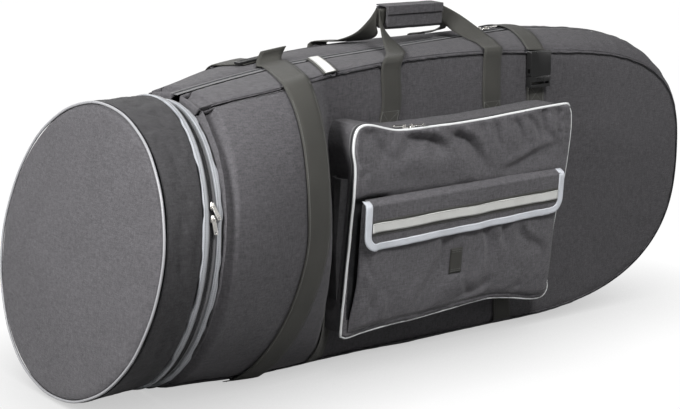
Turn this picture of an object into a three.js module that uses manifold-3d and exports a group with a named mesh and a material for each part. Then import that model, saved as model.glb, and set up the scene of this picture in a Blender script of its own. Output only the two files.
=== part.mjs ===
// Tuba gig bag: a padded fabric bag that lies on its long narrow edge.
// Millimetres. X runs from the bell end to the bow end, the pocket faces -Y, +Z is up, the floor is z = 0.
import * as THREE from 'three';
import { mergeVertices } from 'three/addons/utils/BufferGeometryUtils.js';
import Module from 'manifold-3d';

const wasm = await Module();
wasm.setup();

const rad = THREE.MathUtils.degToRad;
const V = (x, y, z) => new THREE.Vector3(x, y, z);

// Fits and clearances
const GAP = 0.3;            // between pieces that touch
const SEAM_HALF_GAP = 0.25; // each side of a sewn seam between two padded panels
const LIFT = 0.8;           // webbing over the facets of the shell

// Bell mouth: the ring where the bell cover zips on
const MOUTH_X = 118;
const MOUTH_RADIUS = 237;
const MOUTH_SINK = 1;       // the mouth's ring is this much lower than one that stands on the floor
const MOUTH_Z = MOUTH_RADIUS - MOUTH_SINK;
const MOUTH_PITCH = rad(10.2);
const MOUTH_YAW = rad(-3);
const SHELL_SETBACK = 17;   // from the zip's centre line back to the padded shell
const SHELL_PROUD = 2;
const SHELL_RADIUS = MOUTH_RADIUS + SHELL_PROUD;

// Bag body
const WALL = 18;            // foam and two layers of cloth
const BOW_X = 850;          // where the round bow end starts
const BOW_LENGTH = 368;
const MID_Z = 270;
const FLOOR_SEAM_Z = 17;
const MOUTH_SEAM_RISE = 3;
const ARCH_X = 652;         // top seam: one long arc, highest here
const ARCH_Z = 517;
const ARCH_RADIUS = 2000;
const BOW_TOP_SLOPE = 0.045;
const BOW_TOP_POWER = 3.1;
const BOW_BOTTOM_POWER = 2.4;
const LEAN_END = 380;       // the lean of the mouth fades out here

// Crest: the line of the main zip, straight where the sliders run
const CREST_X = 430;
const CREST_Z = 510.5;
const CREST_SLOPE = 0.062;
const CREST_END = 800;
const NECK_DROP = 24;
const NECK_DROP_LENGTH = 269;
const BOW_DROP = 14.6;
const BOW_DROP_LENGTH = 200;
const BOW_CROWN = 40;
const FLOOR_CROWN = 22;     // more than the floor seam's height, so the bag rests on a flat strip
const CROWN_POWER = 2.4;

// Depths, measured from the middle plane to the front or rear surface
const NECK_DEPTH = 199;
const BODY_DEPTH = 113;
const BOW_DEPTH = 107;
const NECK_END = 346;       // the bell's bulge ends here
const VALLEY_X = 402;       // the flat body panel starts here
const MOUTH_SEAM_HALF = 92;
const NECK_SEAM_HALF = 116;
const BODY_SEAM_HALF = 108;
const BOW_SEAM_HALF = 104;
const NECK_X = 300;
const PANEL_ANGLE = Math.acos(MOUTH_SEAM_HALF / MOUTH_RADIUS);

// Main zip
const ZIP_HALF = 11;
const ZIP_COIL_HALF = 3;
const ZIP_SINK = 2;
const ZIP_COIL_SINK = 0.8;
const ZIP_TAPE = 2.2;
const ZIP_END = rad(36);    // angle on the bow end where the zip stops near the floor

const START_X = MOUTH_X + SHELL_SETBACK;
const ORIGIN_X = (START_X + BOW_X + BOW_LENGTH) / 2;

// Small helpers for shapes along the bag
const lerp = THREE.MathUtils.lerp;
const smooth = THREE.MathUtils.smoothstep;
const steps = (count) => Array.from({ length: count + 1 }, (_, i) => i / count);
const spread = (from, to, count) => steps(count).map((share) => lerp(from, to, share));

function leanShare(x) {
  return 1 - smooth(x, START_X, LEAN_END);
}

function leaned(p) {
  const pitch = (p.z - MOUTH_Z) * Math.tan(MOUTH_PITCH) / Math.cos(MOUTH_YAW);
  const yaw = -p.y * Math.tan(MOUTH_YAW);
  return V(p.x + leanShare(p.x) * (pitch + yaw), p.y, p.z);
}

function seamZ(x) {
  const d = x + leanShare(x) * (ARCH_Z - MOUTH_Z) * Math.tan(MOUTH_PITCH) - ARCH_X;
  return ARCH_Z - ARCH_RADIUS + Math.sqrt(ARCH_RADIUS ** 2 - d * d);
}

function crestZ(x) {
  const at = x + leanShare(x) * (CREST_Z - MOUTH_Z) * Math.tan(MOUTH_PITCH);
  const neck = Math.max(0, CREST_X - at) / NECK_DROP_LENGTH;
  const bow = Math.max(0, at - CREST_END) / BOW_DROP_LENGTH;
  return CREST_Z + CREST_SLOPE * (at - CREST_X) - NECK_DROP * neck ** 1.6 - BOW_DROP * bow ** 2;
}

// A place along the bag: { x } on the straight part, { phi } round the bow end
const straight = (x) => ({ x, phi: 0 });
const bow = (phi) => ({ x: BOW_X, phi });

function rim(place, side, inset) {
  if (place.phi === 0) {
    const floor = FLOOR_SEAM_Z + MOUTH_SEAM_RISE * (1 - smooth(place.x, START_X, NECK_X));
    const z = side > 0 ? seamZ(place.x) - inset : floor + inset;
    return { x: place.x, z };
  }
  const power = side > 0 ? BOW_TOP_POWER : BOW_BOTTOM_POWER;
  const length = BOW_LENGTH - inset;
  const along = length * Math.sin(place.phi) ** (2 / power);
  const topHeight = seamZ(BOW_X) - BOW_TOP_SLOPE * along - inset - MID_Z;
  const height = side > 0 ? topHeight : MID_Z - FLOOR_SEAM_Z - inset;
  const rise = height * Math.max(0, Math.cos(place.phi)) ** (2 / power);
  return { x: BOW_X + along, z: MID_Z + side * rise };
}

function placeAt(x) {
  if (x <= BOW_X) return straight(x);
  return bow(Math.asin(((x - BOW_X) / BOW_LENGTH) ** (BOW_TOP_POWER / 2)));
}

function shifted(place, amount) {
  if (place.phi === 0 && place.x + amount < BOW_X) return straight(place.x + amount);
  return bow(Math.min(Math.PI / 2, Math.max(place.phi + amount / BOW_LENGTH, 0.001)));
}

function rimNormal(place, side) {
  if (place.phi > rad(89.5)) return { x: 1, z: 0 };
  const a = rim(shifted(place, -WALL / 9), side, 0);
  const b = rim(shifted(place, WALL / 9), side, 0);
  const length = Math.hypot(b.x - a.x, b.z - a.z);
  return { x: -side * (b.z - a.z) / length, z: side * (b.x - a.x) / length };
}

function seamHalf(place) {
  const x = rim(place, 1, 0).x;
  const neck = (NECK_SEAM_HALF - MOUTH_SEAM_HALF) * smooth(x, START_X, NECK_X);
  const body = (NECK_SEAM_HALF - BODY_SEAM_HALF) * smooth(x, NECK_X, CREST_X);
  const end = (BODY_SEAM_HALF - BOW_SEAM_HALF) * smooth(x, BOW_X, BOW_X + BOW_LENGTH);
  return MOUTH_SEAM_HALF + neck - body - end;
}

function panelDepth(x) {
  if (x < NECK_END) {
    const share = ((x - START_X) / (NECK_END - START_X)) ** 1.3;
    return lerp(SHELL_RADIUS, NECK_DEPTH, share);
  }
  const valley = (NECK_DEPTH - BODY_DEPTH) * smooth(x, NECK_END, VALLEY_X);
  const end = (BODY_DEPTH - BOW_DEPTH) * smooth(x, BOW_X, BOW_X + BOW_LENGTH);
  return NECK_DEPTH - valley - end;
}

function crown(place, side) {
  if (side < 0) return lerp(FLOOR_CROWN, BOW_CROWN, smooth(place.phi, ZIP_END, rad(80)));
  const body = crestZ(place.x) - seamZ(place.x);
  return lerp(body, BOW_CROWN, smooth(place.phi, 0, rad(40)));
}

const crownAt = (across) => 1 - Math.min(1, Math.abs(across)) ** CROWN_POWER;

// Surface points before the lean: the panel's angle runs from -PANEL_ANGLE at the floor to +PANEL_ANGLE
function panelPoint(place, angle, face, inset = 0, lift = 0) {
  const top = rim(place, 1, inset);
  const floor = rim(place, -1, inset);
  const share = (1 + Math.sin(angle) / Math.sin(PANEL_ANGLE)) / 2;
  const bulge = (Math.cos(angle) - Math.cos(PANEL_ANGLE)) / (1 - Math.cos(PANEL_ANGLE));
  const half = seamHalf(place);
  const x = lerp(floor.x, top.x, share);
  const fade = Math.sqrt(Math.max(0, Math.cos(place.phi)));
  const y = half - inset + (panelDepth(rim(place, 1, 0).x) - half) * bulge * fade + lift;
  return V(x, face * y, lerp(floor.z, top.z, share));
}

function gussetPoint(place, side, y, inset = 0, lift = 0) {
  const base = rim(place, side, inset);
  const normal = rimNormal(place, side);
  const height = crown(place, side) * crownAt(y / (seamHalf(place) - inset)) + lift;
  const z = base.z + normal.z * height;
  const onFloor = side < 0 && inset === 0 && place.phi < ZIP_END;
  const tilt = normal.x * (1 - leanShare(place.x));
  return V(base.x + tilt * height, y, onFloor ? Math.max(0, z) : z);
}

// Depth of the front or rear surface at a point of the flat body panel
function bodyDepthAt(x, z) {
  const place = placeAt(x);
  const top = rim(place, 1, 0).z;
  const floor = rim(place, -1, 0).z;
  const share = THREE.MathUtils.clamp((z - floor) / (top - floor), 0, 1);
  const angle = Math.asin((2 * share - 1) * Math.sin(PANEL_ANGLE));
  return Math.abs(panelPoint(place, angle, 1).y);
}

// Closed solid between an outer and an inner grid of points; ring = true joins the last column to the first
function slab(outer, inner, ring = false) {
  const rows = outer.length;
  const across = outer[0].length;
  const points = [...outer.flat(), ...inner.flat()];
  const at = (i, j) => (i % rows) * across + j;
  const under = (i, j) => rows * across + at(i, j);
  const faces = [];
  const quad = (a, b, c, d) => {
    const shorter = points[a].distanceTo(points[c]) < points[b].distanceTo(points[d]);
    faces.push(...(shorter ? [[a, b, c], [a, c, d]] : [[b, c, d], [b, d, a]]));
  };
  const last = across - 1;
  for (let i = 0; i < (ring ? rows : rows - 1); i++) {
    for (let j = 0; j < last; j++) {
      quad(at(i, j), at(i + 1, j), at(i + 1, j + 1), at(i, j + 1));
      quad(under(i, j), under(i, j + 1), under(i + 1, j + 1), under(i + 1, j));
    }
    quad(at(i + 1, 0), at(i, 0), under(i, 0), under(i + 1, 0));
    quad(at(i, last), at(i + 1, last), under(i + 1, last), under(i, last));
  }
  if (!ring) {
    for (let j = 0; j < last; j++) {
      quad(at(0, j), at(0, j + 1), under(0, j + 1), under(0, j));
      quad(at(rows - 1, j + 1), at(rows - 1, j), under(rows - 1, j), under(rows - 1, j + 1));
    }
  }
  return closedGeometry(points, faces);
}

function closedGeometry(points, faces) {
  const raw = new THREE.BufferGeometry();
  raw.setAttribute('position', new THREE.Float32BufferAttribute(points.flatMap((p) => [p.x, p.y, p.z]), 3));
  raw.setIndex(faces.flat());
  const merged = mergeVertices(raw, 1e-3);
  const index = Array.from(merged.index.array);
  const kept = [];
  for (let i = 0; i < index.length; i += 3) {
    const [a, b, c] = index.slice(i, i + 3);
    if (a !== b && b !== c && c !== a) kept.push(a, b, c);
  }
  merged.setIndex(volume(merged, kept) < 0 ? kept.reverse() : kept);
  merged.computeVertexNormals();
  return merged;
}

function volume(geometry, index) {
  const p = geometry.attributes.position;
  const at = (i) => V(p.getX(i), p.getY(i), p.getZ(i));
  let sum = 0;
  for (let i = 0; i < index.length; i += 3) sum += at(index[i]).dot(at(index[i + 1]).cross(at(index[i + 2])));
  return sum;
}

// Booleans
function toManifold(geometry) {
  const bare = geometry.clone();
  bare.deleteAttribute('normal');
  bare.deleteAttribute('uv');
  const merged = mergeVertices(bare, 1e-4);
  const vertProperties = new Float32Array(merged.attributes.position.array);
  const triVerts = new Uint32Array(merged.index.array);
  return new wasm.Manifold(new wasm.Mesh({ numProp: 3, vertProperties, triVerts }));
}

function fromManifold(manifold) {
  const mesh = manifold.getMesh();
  const geometry = new THREE.BufferGeometry();
  geometry.setAttribute('position', new THREE.BufferAttribute(new Float32Array(mesh.vertProperties), 3));
  geometry.setIndex(new THREE.BufferAttribute(new Uint32Array(mesh.triVerts), 1));
  geometry.computeVertexNormals();
  return geometry;
}

const join = (first, ...rest) => fromManifold(rest.reduce((all, g) => all.add(toManifold(g)), toManifold(first)));
const cut = (first, ...rest) => fromManifold(rest.reduce((all, g) => all.subtract(toManifold(g)), toManifold(first)));

// Plates: a shape drawn in X and Z, thickened towards -Y from y = 0
function frontPlate(shape, thickness, curveSegments = 4) {
  const geometry = new THREE.ExtrudeGeometry(shape, { depth: thickness, bevelEnabled: false, curveSegments });
  geometry.applyMatrix4(new THREE.Matrix4().makeBasis(V(1, 0, 0), V(0, 0, 1), V(0, -1, 0)));
  return geometry;
}

// A shape drawn in Y and Z, drawn out along +X from x = 0
function alongBag(shape, length, curveSegments = 4) {
  const geometry = new THREE.ExtrudeGeometry(shape, { depth: length, bevelEnabled: false, curveSegments });
  geometry.applyMatrix4(new THREE.Matrix4().makeBasis(V(0, 1, 0), V(0, 0, 1), V(1, 0, 0)));
  return geometry;
}

function box(width, depth, height, x = 0, y = 0, z = 0) {
  return new THREE.BoxGeometry(width, depth, height).translate(x, y, z);
}

function roundedRect(x0, y0, x1, y1, r) {
  const shape = new THREE.Shape();
  shape.moveTo(x0 + r, y0);
  shape.lineTo(x1 - r, y0);
  shape.absarc(x1 - r, y0 + r, r, -Math.PI / 2, 0);
  shape.lineTo(x1, y1 - r);
  shape.absarc(x1 - r, y1 - r, r, 0, Math.PI / 2);
  shape.lineTo(x0 + r, y1);
  shape.absarc(x0 + r, y1 - r, r, Math.PI / 2, Math.PI);
  shape.lineTo(x0, y0 + r);
  shape.absarc(x0 + r, y0 + r, r, Math.PI, Math.PI * 1.5);
  return shape;
}

// Materials
const cloth = (colour) => new THREE.MeshStandardMaterial({ color: colour, roughness: 0.85, metalness: 0 });
const NYLON = cloth(0x555457);
const NYLON_DARK = cloth(0x3e3d41);
const WEBBING = cloth(0x3a3a36);
const BINDING = cloth(0x858a90);
const PALE_BINDING = cloth(0xc8ccd6);
const PIPING = cloth(0xeeeeee);
const ZIP_CLOTH = cloth(0x232324);
const REFLECTIVE = new THREE.MeshStandardMaterial({ color: 0xcbcac2, roughness: 0.4, metalness: 0.1 });
const NICKEL = new THREE.MeshStandardMaterial({ color: 0xcfc9bd, roughness: 0.25, metalness: 1 });
const PLASTIC = new THREE.MeshStandardMaterial({ color: 0x2b2b2d, roughness: 0.35, metalness: 0 });

const bag = new THREE.Group();
bag.position.set(-ORIGIN_X, 0, 0);

function add(group, name, geometry, material) {
  const mesh = new THREE.Mesh(geometry, material);
  mesh.name = name;
  group.add(mesh);
  return mesh;
}

function groupAt(parent, position, basis) {
  const group = new THREE.Group();
  group.position.copy(position);
  if (basis) group.quaternion.setFromRotationMatrix(new THREE.Matrix4().makeBasis(...basis));
  parent.add(group);
  return group;
}

// Padded shell
const PANEL_ROWS = 10;
const panelAngles = spread(-PANEL_ANGLE, PANEL_ANGLE, PANEL_ROWS);
const neckPlaces = spread(START_X, NECK_END, 8).map(straight);
const valleyPlaces = spread(NECK_END, VALLEY_X, 8).slice(1).map(straight);
const bodyPlaces = spread(VALLEY_X, BOW_X, 7).slice(1).map(straight);
const bowShares = [0.007, 0.035, 0.1, 0.2, 0.3, 0.4, 0.5, 0.6, 0.7, 0.8, 0.9, 1];
const bowPlaces = bowShares.map((share) => bow(share * Math.PI / 2));
const panelPlaces = [...neckPlaces, ...valleyPlaces, ...bodyPlaces, ...bowPlaces];

function paddedPanel(face) {
  const grid = (inset) => panelPlaces.map((place) => panelAngles.map((angle) => {
    return leaned(panelPoint(place, angle, face, inset, SEAM_HALF_GAP));
  }));
  return slab(grid(0), grid(WALL));
}

function gussetGrid(path, ys, inset) {
  return path.map(([place, side]) => ys(place, inset).map((y) => leaned(gussetPoint(place, side, y, inset))));
}

const ANGLE_SLACK = 1e-6;
const isDown = (place) => place.phi < Math.PI / 2 && place.phi > ZIP_END - ANGLE_SLACK;
const isFloor = (place) => place.phi < ZIP_END - ANGLE_SLACK;
const bowDown = bowPlaces.filter(isDown).reverse().map((place) => [place, -1]);
const crestPath = [...panelPlaces.map((place) => [place, 1]), ...bowDown];
const floorEnd = [shifted(bow(ZIP_END), -GAP), -1];
const floorPath = [...panelPlaces.filter(isFloor).map((place) => [place, -1]), floorEnd];

function topGusset(face) {
  const ys = (place, inset) => spread(ZIP_HALF + GAP, seamHalf(place) - inset - SEAM_HALF_GAP, 4);
  const grid = (inset) => gussetGrid(crestPath, (place, i) => ys(place, i).map((y) => face * y), inset);
  return slab(grid(0), grid(WALL));
}

function floorGusset() {
  const ys = (place, inset) => {
    const edge = seamHalf(place) - inset - SEAM_HALF_GAP;
    return spread(-edge, edge, 10);
  };
  return slab(gussetGrid(floorPath, ys, 0), gussetGrid(floorPath, ys, WALL));
}

function mainZip() {
  const flat = [-ZIP_HALF, -ZIP_COIL_HALF - GAP, -ZIP_COIL_HALF, ZIP_COIL_HALF, ZIP_COIL_HALF + GAP, ZIP_HALF];
  const sink = [ZIP_SINK, ZIP_SINK, ZIP_COIL_SINK, ZIP_COIL_SINK, ZIP_SINK, ZIP_SINK];
  const grid = (extra) => crestPath.map(([place, side]) => flat.map((y, j) => {
    const lift = extra === 0 ? -sink[j] : -ZIP_SINK - extra;
    return leaned(gussetPoint(place, side, y, 0, lift));
  }));
  return slab(grid(0), grid(ZIP_TAPE));
}

add(bag, 'front_panel', paddedPanel(-1), NYLON);
add(bag, 'rear_panel', paddedPanel(1), NYLON);
add(bag, 'top_gusset_front', topGusset(-1), NYLON);
add(bag, 'top_gusset_rear', topGusset(1), NYLON);
add(bag, 'bottom_gusset', floorGusset(), NYLON);
add(bag, 'main_zip', mainZip(), ZIP_CLOTH);

// Zip slider and pull. Local X is the way the zip runs, Z points away from the cloth
const SLIDER_LENGTH = 11;
const SLIDER_WIDTH = 8;
const SLIDER_THICK = 2.4;
const ARCH_LENGTH = 5.4;
const ARCH_WIDTH = 2.2;
const ARCH_HEIGHT = 3.4;
const ARCH_BAR = 0.9;
const PULL_PIN = 1.2;
const PULL_LENGTH = 24;
const PULL_WIDTH = 6.8;
const PULL_THICK = 1.3;
const PULL_HOLE = 1.5;
const PULL_EYE = 4.4;
const PULL_EYE_HALF = 2.25;
const PIN_HEIGHT = SLIDER_THICK + (ARCH_HEIGHT - ARCH_BAR) / 2;

function sliderGeometry() {
  const outline = new THREE.Shape();
  outline.moveTo(-SLIDER_LENGTH / 2, -SLIDER_WIDTH / 3);
  outline.lineTo(0, -SLIDER_WIDTH / 2);
  outline.lineTo(SLIDER_LENGTH / 2, -SLIDER_WIDTH / 2);
  outline.lineTo(SLIDER_LENGTH / 2, SLIDER_WIDTH / 2);
  outline.lineTo(0, SLIDER_WIDTH / 2);
  outline.lineTo(-SLIDER_LENGTH / 2, SLIDER_WIDTH / 3);
  const plate = new THREE.ExtrudeGeometry(outline, { depth: SLIDER_THICK, bevelEnabled: false });
  const root = SLIDER_THICK / 2;
  const arch = box(ARCH_LENGTH, ARCH_WIDTH, ARCH_HEIGHT + root, 0, 0, SLIDER_THICK + (ARCH_HEIGHT - root) / 2);
  const tunnelHeight = ARCH_HEIGHT - ARCH_BAR;
  const tunnelLength = ARCH_LENGTH - 2 * ARCH_BAR;
  const tunnel = box(tunnelLength, ARCH_WIDTH * 2, tunnelHeight, 0, 0, SLIDER_THICK + tunnelHeight / 2);
  return join(plate, cut(arch, tunnel));
}

// The pull's eye goes round the arch; its cross pin is the hinge, at the local origin
function pullGeometry() {
  const shape = roundedRect(-PULL_PIN / 2, -PULL_WIDTH / 2, PULL_LENGTH, PULL_WIDTH / 2, PULL_PIN / 3);
  const eye = new THREE.Path();
  eye.moveTo(PULL_PIN / 2, -PULL_EYE_HALF);
  eye.lineTo(PULL_EYE, -PULL_EYE_HALF);
  eye.lineTo(PULL_EYE, PULL_EYE_HALF);
  eye.lineTo(PULL_PIN / 2, PULL_EYE_HALF);
  const hole = new THREE.Path();
  hole.absarc(PULL_LENGTH - 2 * PULL_HOLE, 0, PULL_HOLE, 0, Math.PI * 2);
  shape.holes.push(eye, hole);
  const plate = new THREE.ExtrudeGeometry(shape, { depth: PULL_THICK, bevelEnabled: false, curveSegments: 3 });
  return plate.translate(0, 0, -PULL_THICK / 2);
}

// parent: a group whose X is the way of travel and Z points out; turn swings the pull sideways
function addSlider(parent, name, turn = 0, back = false) {
  add(parent, `${name}_slider`, sliderGeometry(), NICKEL);
  const pull = new THREE.Group();
  pull.position.set(0, 0, PIN_HEIGHT);
  pull.rotation.z = turn + (back ? Math.PI : 0);
  parent.add(pull);
  add(pull, `${name}_pull`, pullGeometry(), NICKEL);
}

// Main zip sliders, on the straight stretch of the crest left of the buckle strap
const SLIDER_CLEAR = 0.5;
const MAIN_SLIDER_X = 815;
const SLIDERS_APART = 3;
const MAIN_SLIDER_PITCH = SLIDER_LENGTH + SLIDERS_APART;
const mainSliderAt = (x) => {
  const slope = Math.atan(CREST_SLOPE);
  const along = V(Math.cos(slope), 0, Math.sin(slope));
  const out = V(-Math.sin(slope), 0, Math.cos(slope));
  const base = V(x, 0, crestZ(x)).addScaledVector(out, SLIDER_CLEAR - ZIP_COIL_SINK);
  return groupAt(bag, base, [along, V(0, 1, 0), out]);
};
addSlider(mainSliderAt(MAIN_SLIDER_X - MAIN_SLIDER_PITCH), 'main_zip_left', 0, true);
addSlider(mainSliderAt(MAIN_SLIDER_X), 'main_zip_right');

// Bell mouth: local X to the rear, Y outwards to the cover, Z up in the mouth's plane
const mouthUp = V(Math.sin(MOUTH_PITCH) * Math.cos(MOUTH_YAW), Math.sin(MOUTH_PITCH) * Math.sin(MOUTH_YAW),
  Math.cos(MOUTH_PITCH));
const mouthIn = V(Math.cos(MOUTH_PITCH) * Math.cos(MOUTH_YAW), Math.cos(MOUTH_PITCH) * Math.sin(MOUTH_YAW),
  -Math.sin(MOUTH_PITCH));
const mouthRear = mouthUp.clone().cross(mouthIn);
const mouthBasis = [mouthRear, mouthIn.clone().negate(), mouthUp];
const mouth = groupAt(bag, V(MOUTH_X, 0, MOUTH_Z), mouthBasis);

const RING_STEPS = 60;
const BELL_BINDING_DEPTH = 12;
const BELL_BINDING_RADIUS = MOUTH_RADIUS - BELL_BINDING_DEPTH;
const BELL_TAPE_INSET = 1;
const BELL_TAPE_RADIUS = BELL_BINDING_RADIUS + BELL_TAPE_INSET;
const BELL_TAPE = 2.6;
const BELL_COIL_RISE = 5;
const BELL_COIL_RADIUS = BELL_TAPE_RADIUS + BELL_COIL_RISE;
const BELL_SPLIT = 0.4;
const BELL_COIL = 3;
const BELL_TAPE_WIDTH = 8;
const BODY_BINDING_DROP = 4.5;
const BODY_BINDING_TOP = MOUTH_RADIUS - BODY_BINDING_DROP;
const COVER_BINDING_DROP = 0.5;
const COVER_BINDING_TOP = MOUTH_RADIUS - COVER_BINDING_DROP;

function ring(profile) {
  const points = [...profile, profile[0]].map(([r, y]) => new THREE.Vector2(r, y));
  return new THREE.LatheGeometry(points, RING_STEPS);
}

// side +1 is on the cover, -1 on the body
function halfZip(side) {
  const out = BELL_TAPE_RADIUS + BELL_TAPE;
  const profile = [
    [BELL_TAPE_RADIUS, BELL_SPLIT], [BELL_COIL_RADIUS, BELL_SPLIT], [BELL_COIL_RADIUS, BELL_COIL],
    [out, BELL_COIL + GAP], [out, BELL_TAPE_WIDTH], [BELL_TAPE_RADIUS, BELL_TAPE_WIDTH],
  ].map(([r, y]) => [r, side * y]);
  return ring(side > 0 ? profile : profile.reverse());
}

function bindingRing(side, top) {
  const from = BELL_TAPE_WIDTH + GAP;
  const to = SHELL_SETBACK - GAP;
  const profile = [[BELL_BINDING_RADIUS, from], [top, from], [top, to], [BELL_BINDING_RADIUS, to]]
    .map(([r, y]) => [r, side * y]);
  return ring(side > 0 ? profile : profile.reverse());
}

add(mouth, 'bell_zip_body_half', halfZip(-1), ZIP_CLOTH);
add(mouth, 'bell_zip_cover_half', halfZip(1), ZIP_CLOTH);
add(mouth, 'body_binding', bindingRing(-1, BODY_BINDING_TOP), BINDING);
add(mouth, 'cover_binding', bindingRing(1, COVER_BINDING_TOP), BINDING);

// Fabric hinge of the bell cover at the rear of the mouth, its axis upright in the mouth's plane
const HINGE_HALF = 60;
const LEAF = 2;
const HINGE_RADIUS = SHELL_RADIUS + LEAF;
const leaf = (side) => {
  const inner = side > 0 ? COVER_BINDING_TOP : SHELL_RADIUS - LEAF * 2;
  const width = SHELL_SETBACK - 3 * GAP;
  const thick = HINGE_RADIUS - GAP - inner - GAP;
  return box(thick, width, 2 * HINGE_HALF, inner + GAP + thick / 2, side * (width / 2 + GAP), 0);
};
add(mouth, 'cover_hinge_leaf', leaf(1), WEBBING);
add(mouth, 'body_hinge_leaf', leaf(-1), WEBBING);

// Bell zip sliders, near the front of the mouth; angles go up from the front
const BELL_SLIDER_UPPER = rad(26.5);
const BELL_SLIDER_LOWER = rad(21.5);
const bellSliderAt = (angle) => {
  const r = BELL_COIL_RADIUS + SLIDER_CLEAR;
  const out = V(-Math.cos(angle), 0, Math.sin(angle));
  const down = V(-Math.sin(angle), 0, -Math.cos(angle));
  return groupAt(mouth, out.clone().multiplyScalar(r), [down, out.clone().cross(down), out]);
};
addSlider(bellSliderAt(BELL_SLIDER_UPPER), 'bell_zip_upper', rad(24));
addSlider(bellSliderAt(BELL_SLIDER_LOWER), 'bell_zip_lower', rad(8));

// Bell cover
const COVER_X = 0;
const COVER_FLARE = 0.5;
const COVER_RADIUS = MOUTH_RADIUS + COVER_FLARE;
const COVER_Z = COVER_RADIUS;
const COVER_PITCH = rad(12.75);
const COVER_YAW = rad(4.84);
const COVER_WALL = 12;
const DISC_THICK = 14;
const DISC_DOME = 11;
const RIM_SETBACK = 5.6;
const RIM_MITRE = 9;
const PIPING_RADIUS = 2.5;
const DISC_MARGIN = 0.5;
const DISC_RADIUS = COVER_RADIUS - 2 * PIPING_RADIUS - DISC_MARGIN;
const coverUp = V(Math.sin(COVER_PITCH) * Math.cos(COVER_YAW), Math.sin(COVER_PITCH) * Math.sin(COVER_YAW),
  Math.cos(COVER_PITCH));
const coverIn = V(Math.cos(COVER_PITCH) * Math.cos(COVER_YAW), Math.cos(COVER_PITCH) * Math.sin(COVER_YAW),
  -Math.sin(COVER_PITCH));
const coverBasis = [coverUp.clone().cross(coverIn), coverIn.clone().negate(), coverUp];
const cover = groupAt(bag, V(COVER_X, 0, COVER_Z), coverBasis);

function discGeometry() {
  const domeShares = [[0.86, 0.3], [0.66, 0.62], [0.36, 0.9]];
  const dome = domeShares.map(([r, h]) => new THREE.Vector2(DISC_RADIUS * r, DISC_DOME * h));
  const back = DISC_RADIUS - DISC_THICK / 2;
  const profile = [new THREE.Vector2(0, -DISC_THICK), new THREE.Vector2(back, -DISC_THICK),
    new THREE.Vector2(DISC_RADIUS, -2 * PIPING_RADIUS), new THREE.Vector2(DISC_RADIUS, 0), ...dome,
    new THREE.Vector2(0, DISC_DOME)];
  return new THREE.LatheGeometry(profile, RING_STEPS);
}

function ringPoint(origin, basis, radius, out, angle) {
  return origin.clone()
    .addScaledVector(basis[0], radius * Math.sin(angle))
    .addScaledVector(basis[1], out)
    .addScaledVector(basis[2], radius * Math.cos(angle));
}

function coverWall() {
  const discAt = (r, out, a) => ringPoint(V(COVER_X, 0, COVER_Z), coverBasis, r, out, a);
  const mouthAt = (r, out, a) => ringPoint(V(MOUTH_X, 0, MOUTH_Z), mouthBasis, r, out, a);
  const waist = 0.994;
  const angles = steps(RING_STEPS).slice(1).map((share) => share * Math.PI * 2);
  const run = (r0, out0, r1, out1) => angles.map((a) => {
    const from = discAt(r0, out0, a);
    const to = mouthAt(r1, out1, a);
    const middle = discAt(r0 * waist, out0, a).lerp(mouthAt(r1 * waist, out1, a), 0.5);
    return [from, middle, to];
  });
  const outer = run(COVER_RADIUS, -RIM_SETBACK, COVER_BINDING_TOP, SHELL_SETBACK);
  const innerSetback = RIM_SETBACK + RIM_MITRE;
  const inner = run(COVER_RADIUS - COVER_WALL, -innerSetback, COVER_BINDING_TOP - COVER_WALL, SHELL_SETBACK);
  return slab(outer, inner, true);
}

add(cover, 'bell_cover_disc', discGeometry(), NYLON);
const pipingRing = new THREE.TorusGeometry(DISC_RADIUS + PIPING_RADIUS + GAP, PIPING_RADIUS, 8, RING_STEPS);
add(cover, 'bell_cover_piping', pipingRing.rotateX(Math.PI / 2).translate(0, -PIPING_RADIUS, 0), PIPING);
add(bag, 'bell_cover_wall', coverWall(), NYLON_DARK);

// Webbing round the girth of the bag: the neck strap runs aslant over the end of the bell's bulge
const WEB = 1.9;            // webbing thickness
const NECK_STRAP_X = 322;
const NECK_STRAP_WIDTH = 50;
const NECK_STRAP_FLOOR_X = 248;
const NECK_STRAP_SEAM_X = 334;
const NECK_STRAP_CREST_X = 366;
const NECK_STRAP_LIFT = 1.3;
const FLOOR_TUCK = 88;      // webbing ends here, where the rounded side meets the floor
const TUCK_Z = 32;

// Moves a surface point along the bag until it lies on the strap's line
function solveX(target, point) {
  let x = NECK_STRAP_X;
  for (let i = 0; i < 8; i++) {
    const world = leaned(point(x));
    x += target(world) - world.x;
  }
  return leaned(point(x));
}

// Samples round the girth from the front floor edge over the crest to the rear floor edge
function girthSamples(fromFloor, face) {
  const half = seamHalf(straight(NECK_STRAP_X));
  const floorYs = spread(FLOOR_TUCK, half, 2).slice(0, -1);
  const list = fromFloor ? floorYs.map((y) => (x) => gussetPoint(straight(x), -1, face * y)) : [];
  panelAngles.forEach((a) => list.push((x) => panelPoint(straight(x), a, face)));
  const topShares = [0.75, 0.5, 0.25, 0];
  const across = (x, share) => lerp(ZIP_HALF + GAP, seamHalf(straight(x)), share);
  topShares.forEach((share) => list.push((x) => gussetPoint(straight(x), 1, face * across(x, share))));
  return list;
}

// Offsets each line of points outwards in its YZ plane, away from the inside of the bag
function liftLine(line, by) {
  const normals = line.map((_, i) => {
    const a = line[Math.max(0, i - 1)];
    const b = line[Math.min(line.length - 1, i + 1)];
    return V(0, -(b.z - a.z), b.y - a.y).normalize();
  });
  const way = Math.sign(normals[0].dot(V(0, line[0].y, line[0].z - MID_Z)));
  return line.map((p, i) => p.clone().addScaledVector(normals[i], way * by));
}

function webOnLine(left, right, lift = LIFT, thickness = WEB) {
  const grid = (by) => {
    const l = liftLine(left, by);
    const r = liftLine(right, by);
    return l.map((p, i) => [p, r[i]]);
  };
  return slab(grid(lift + thickness), grid(lift));
}

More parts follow.
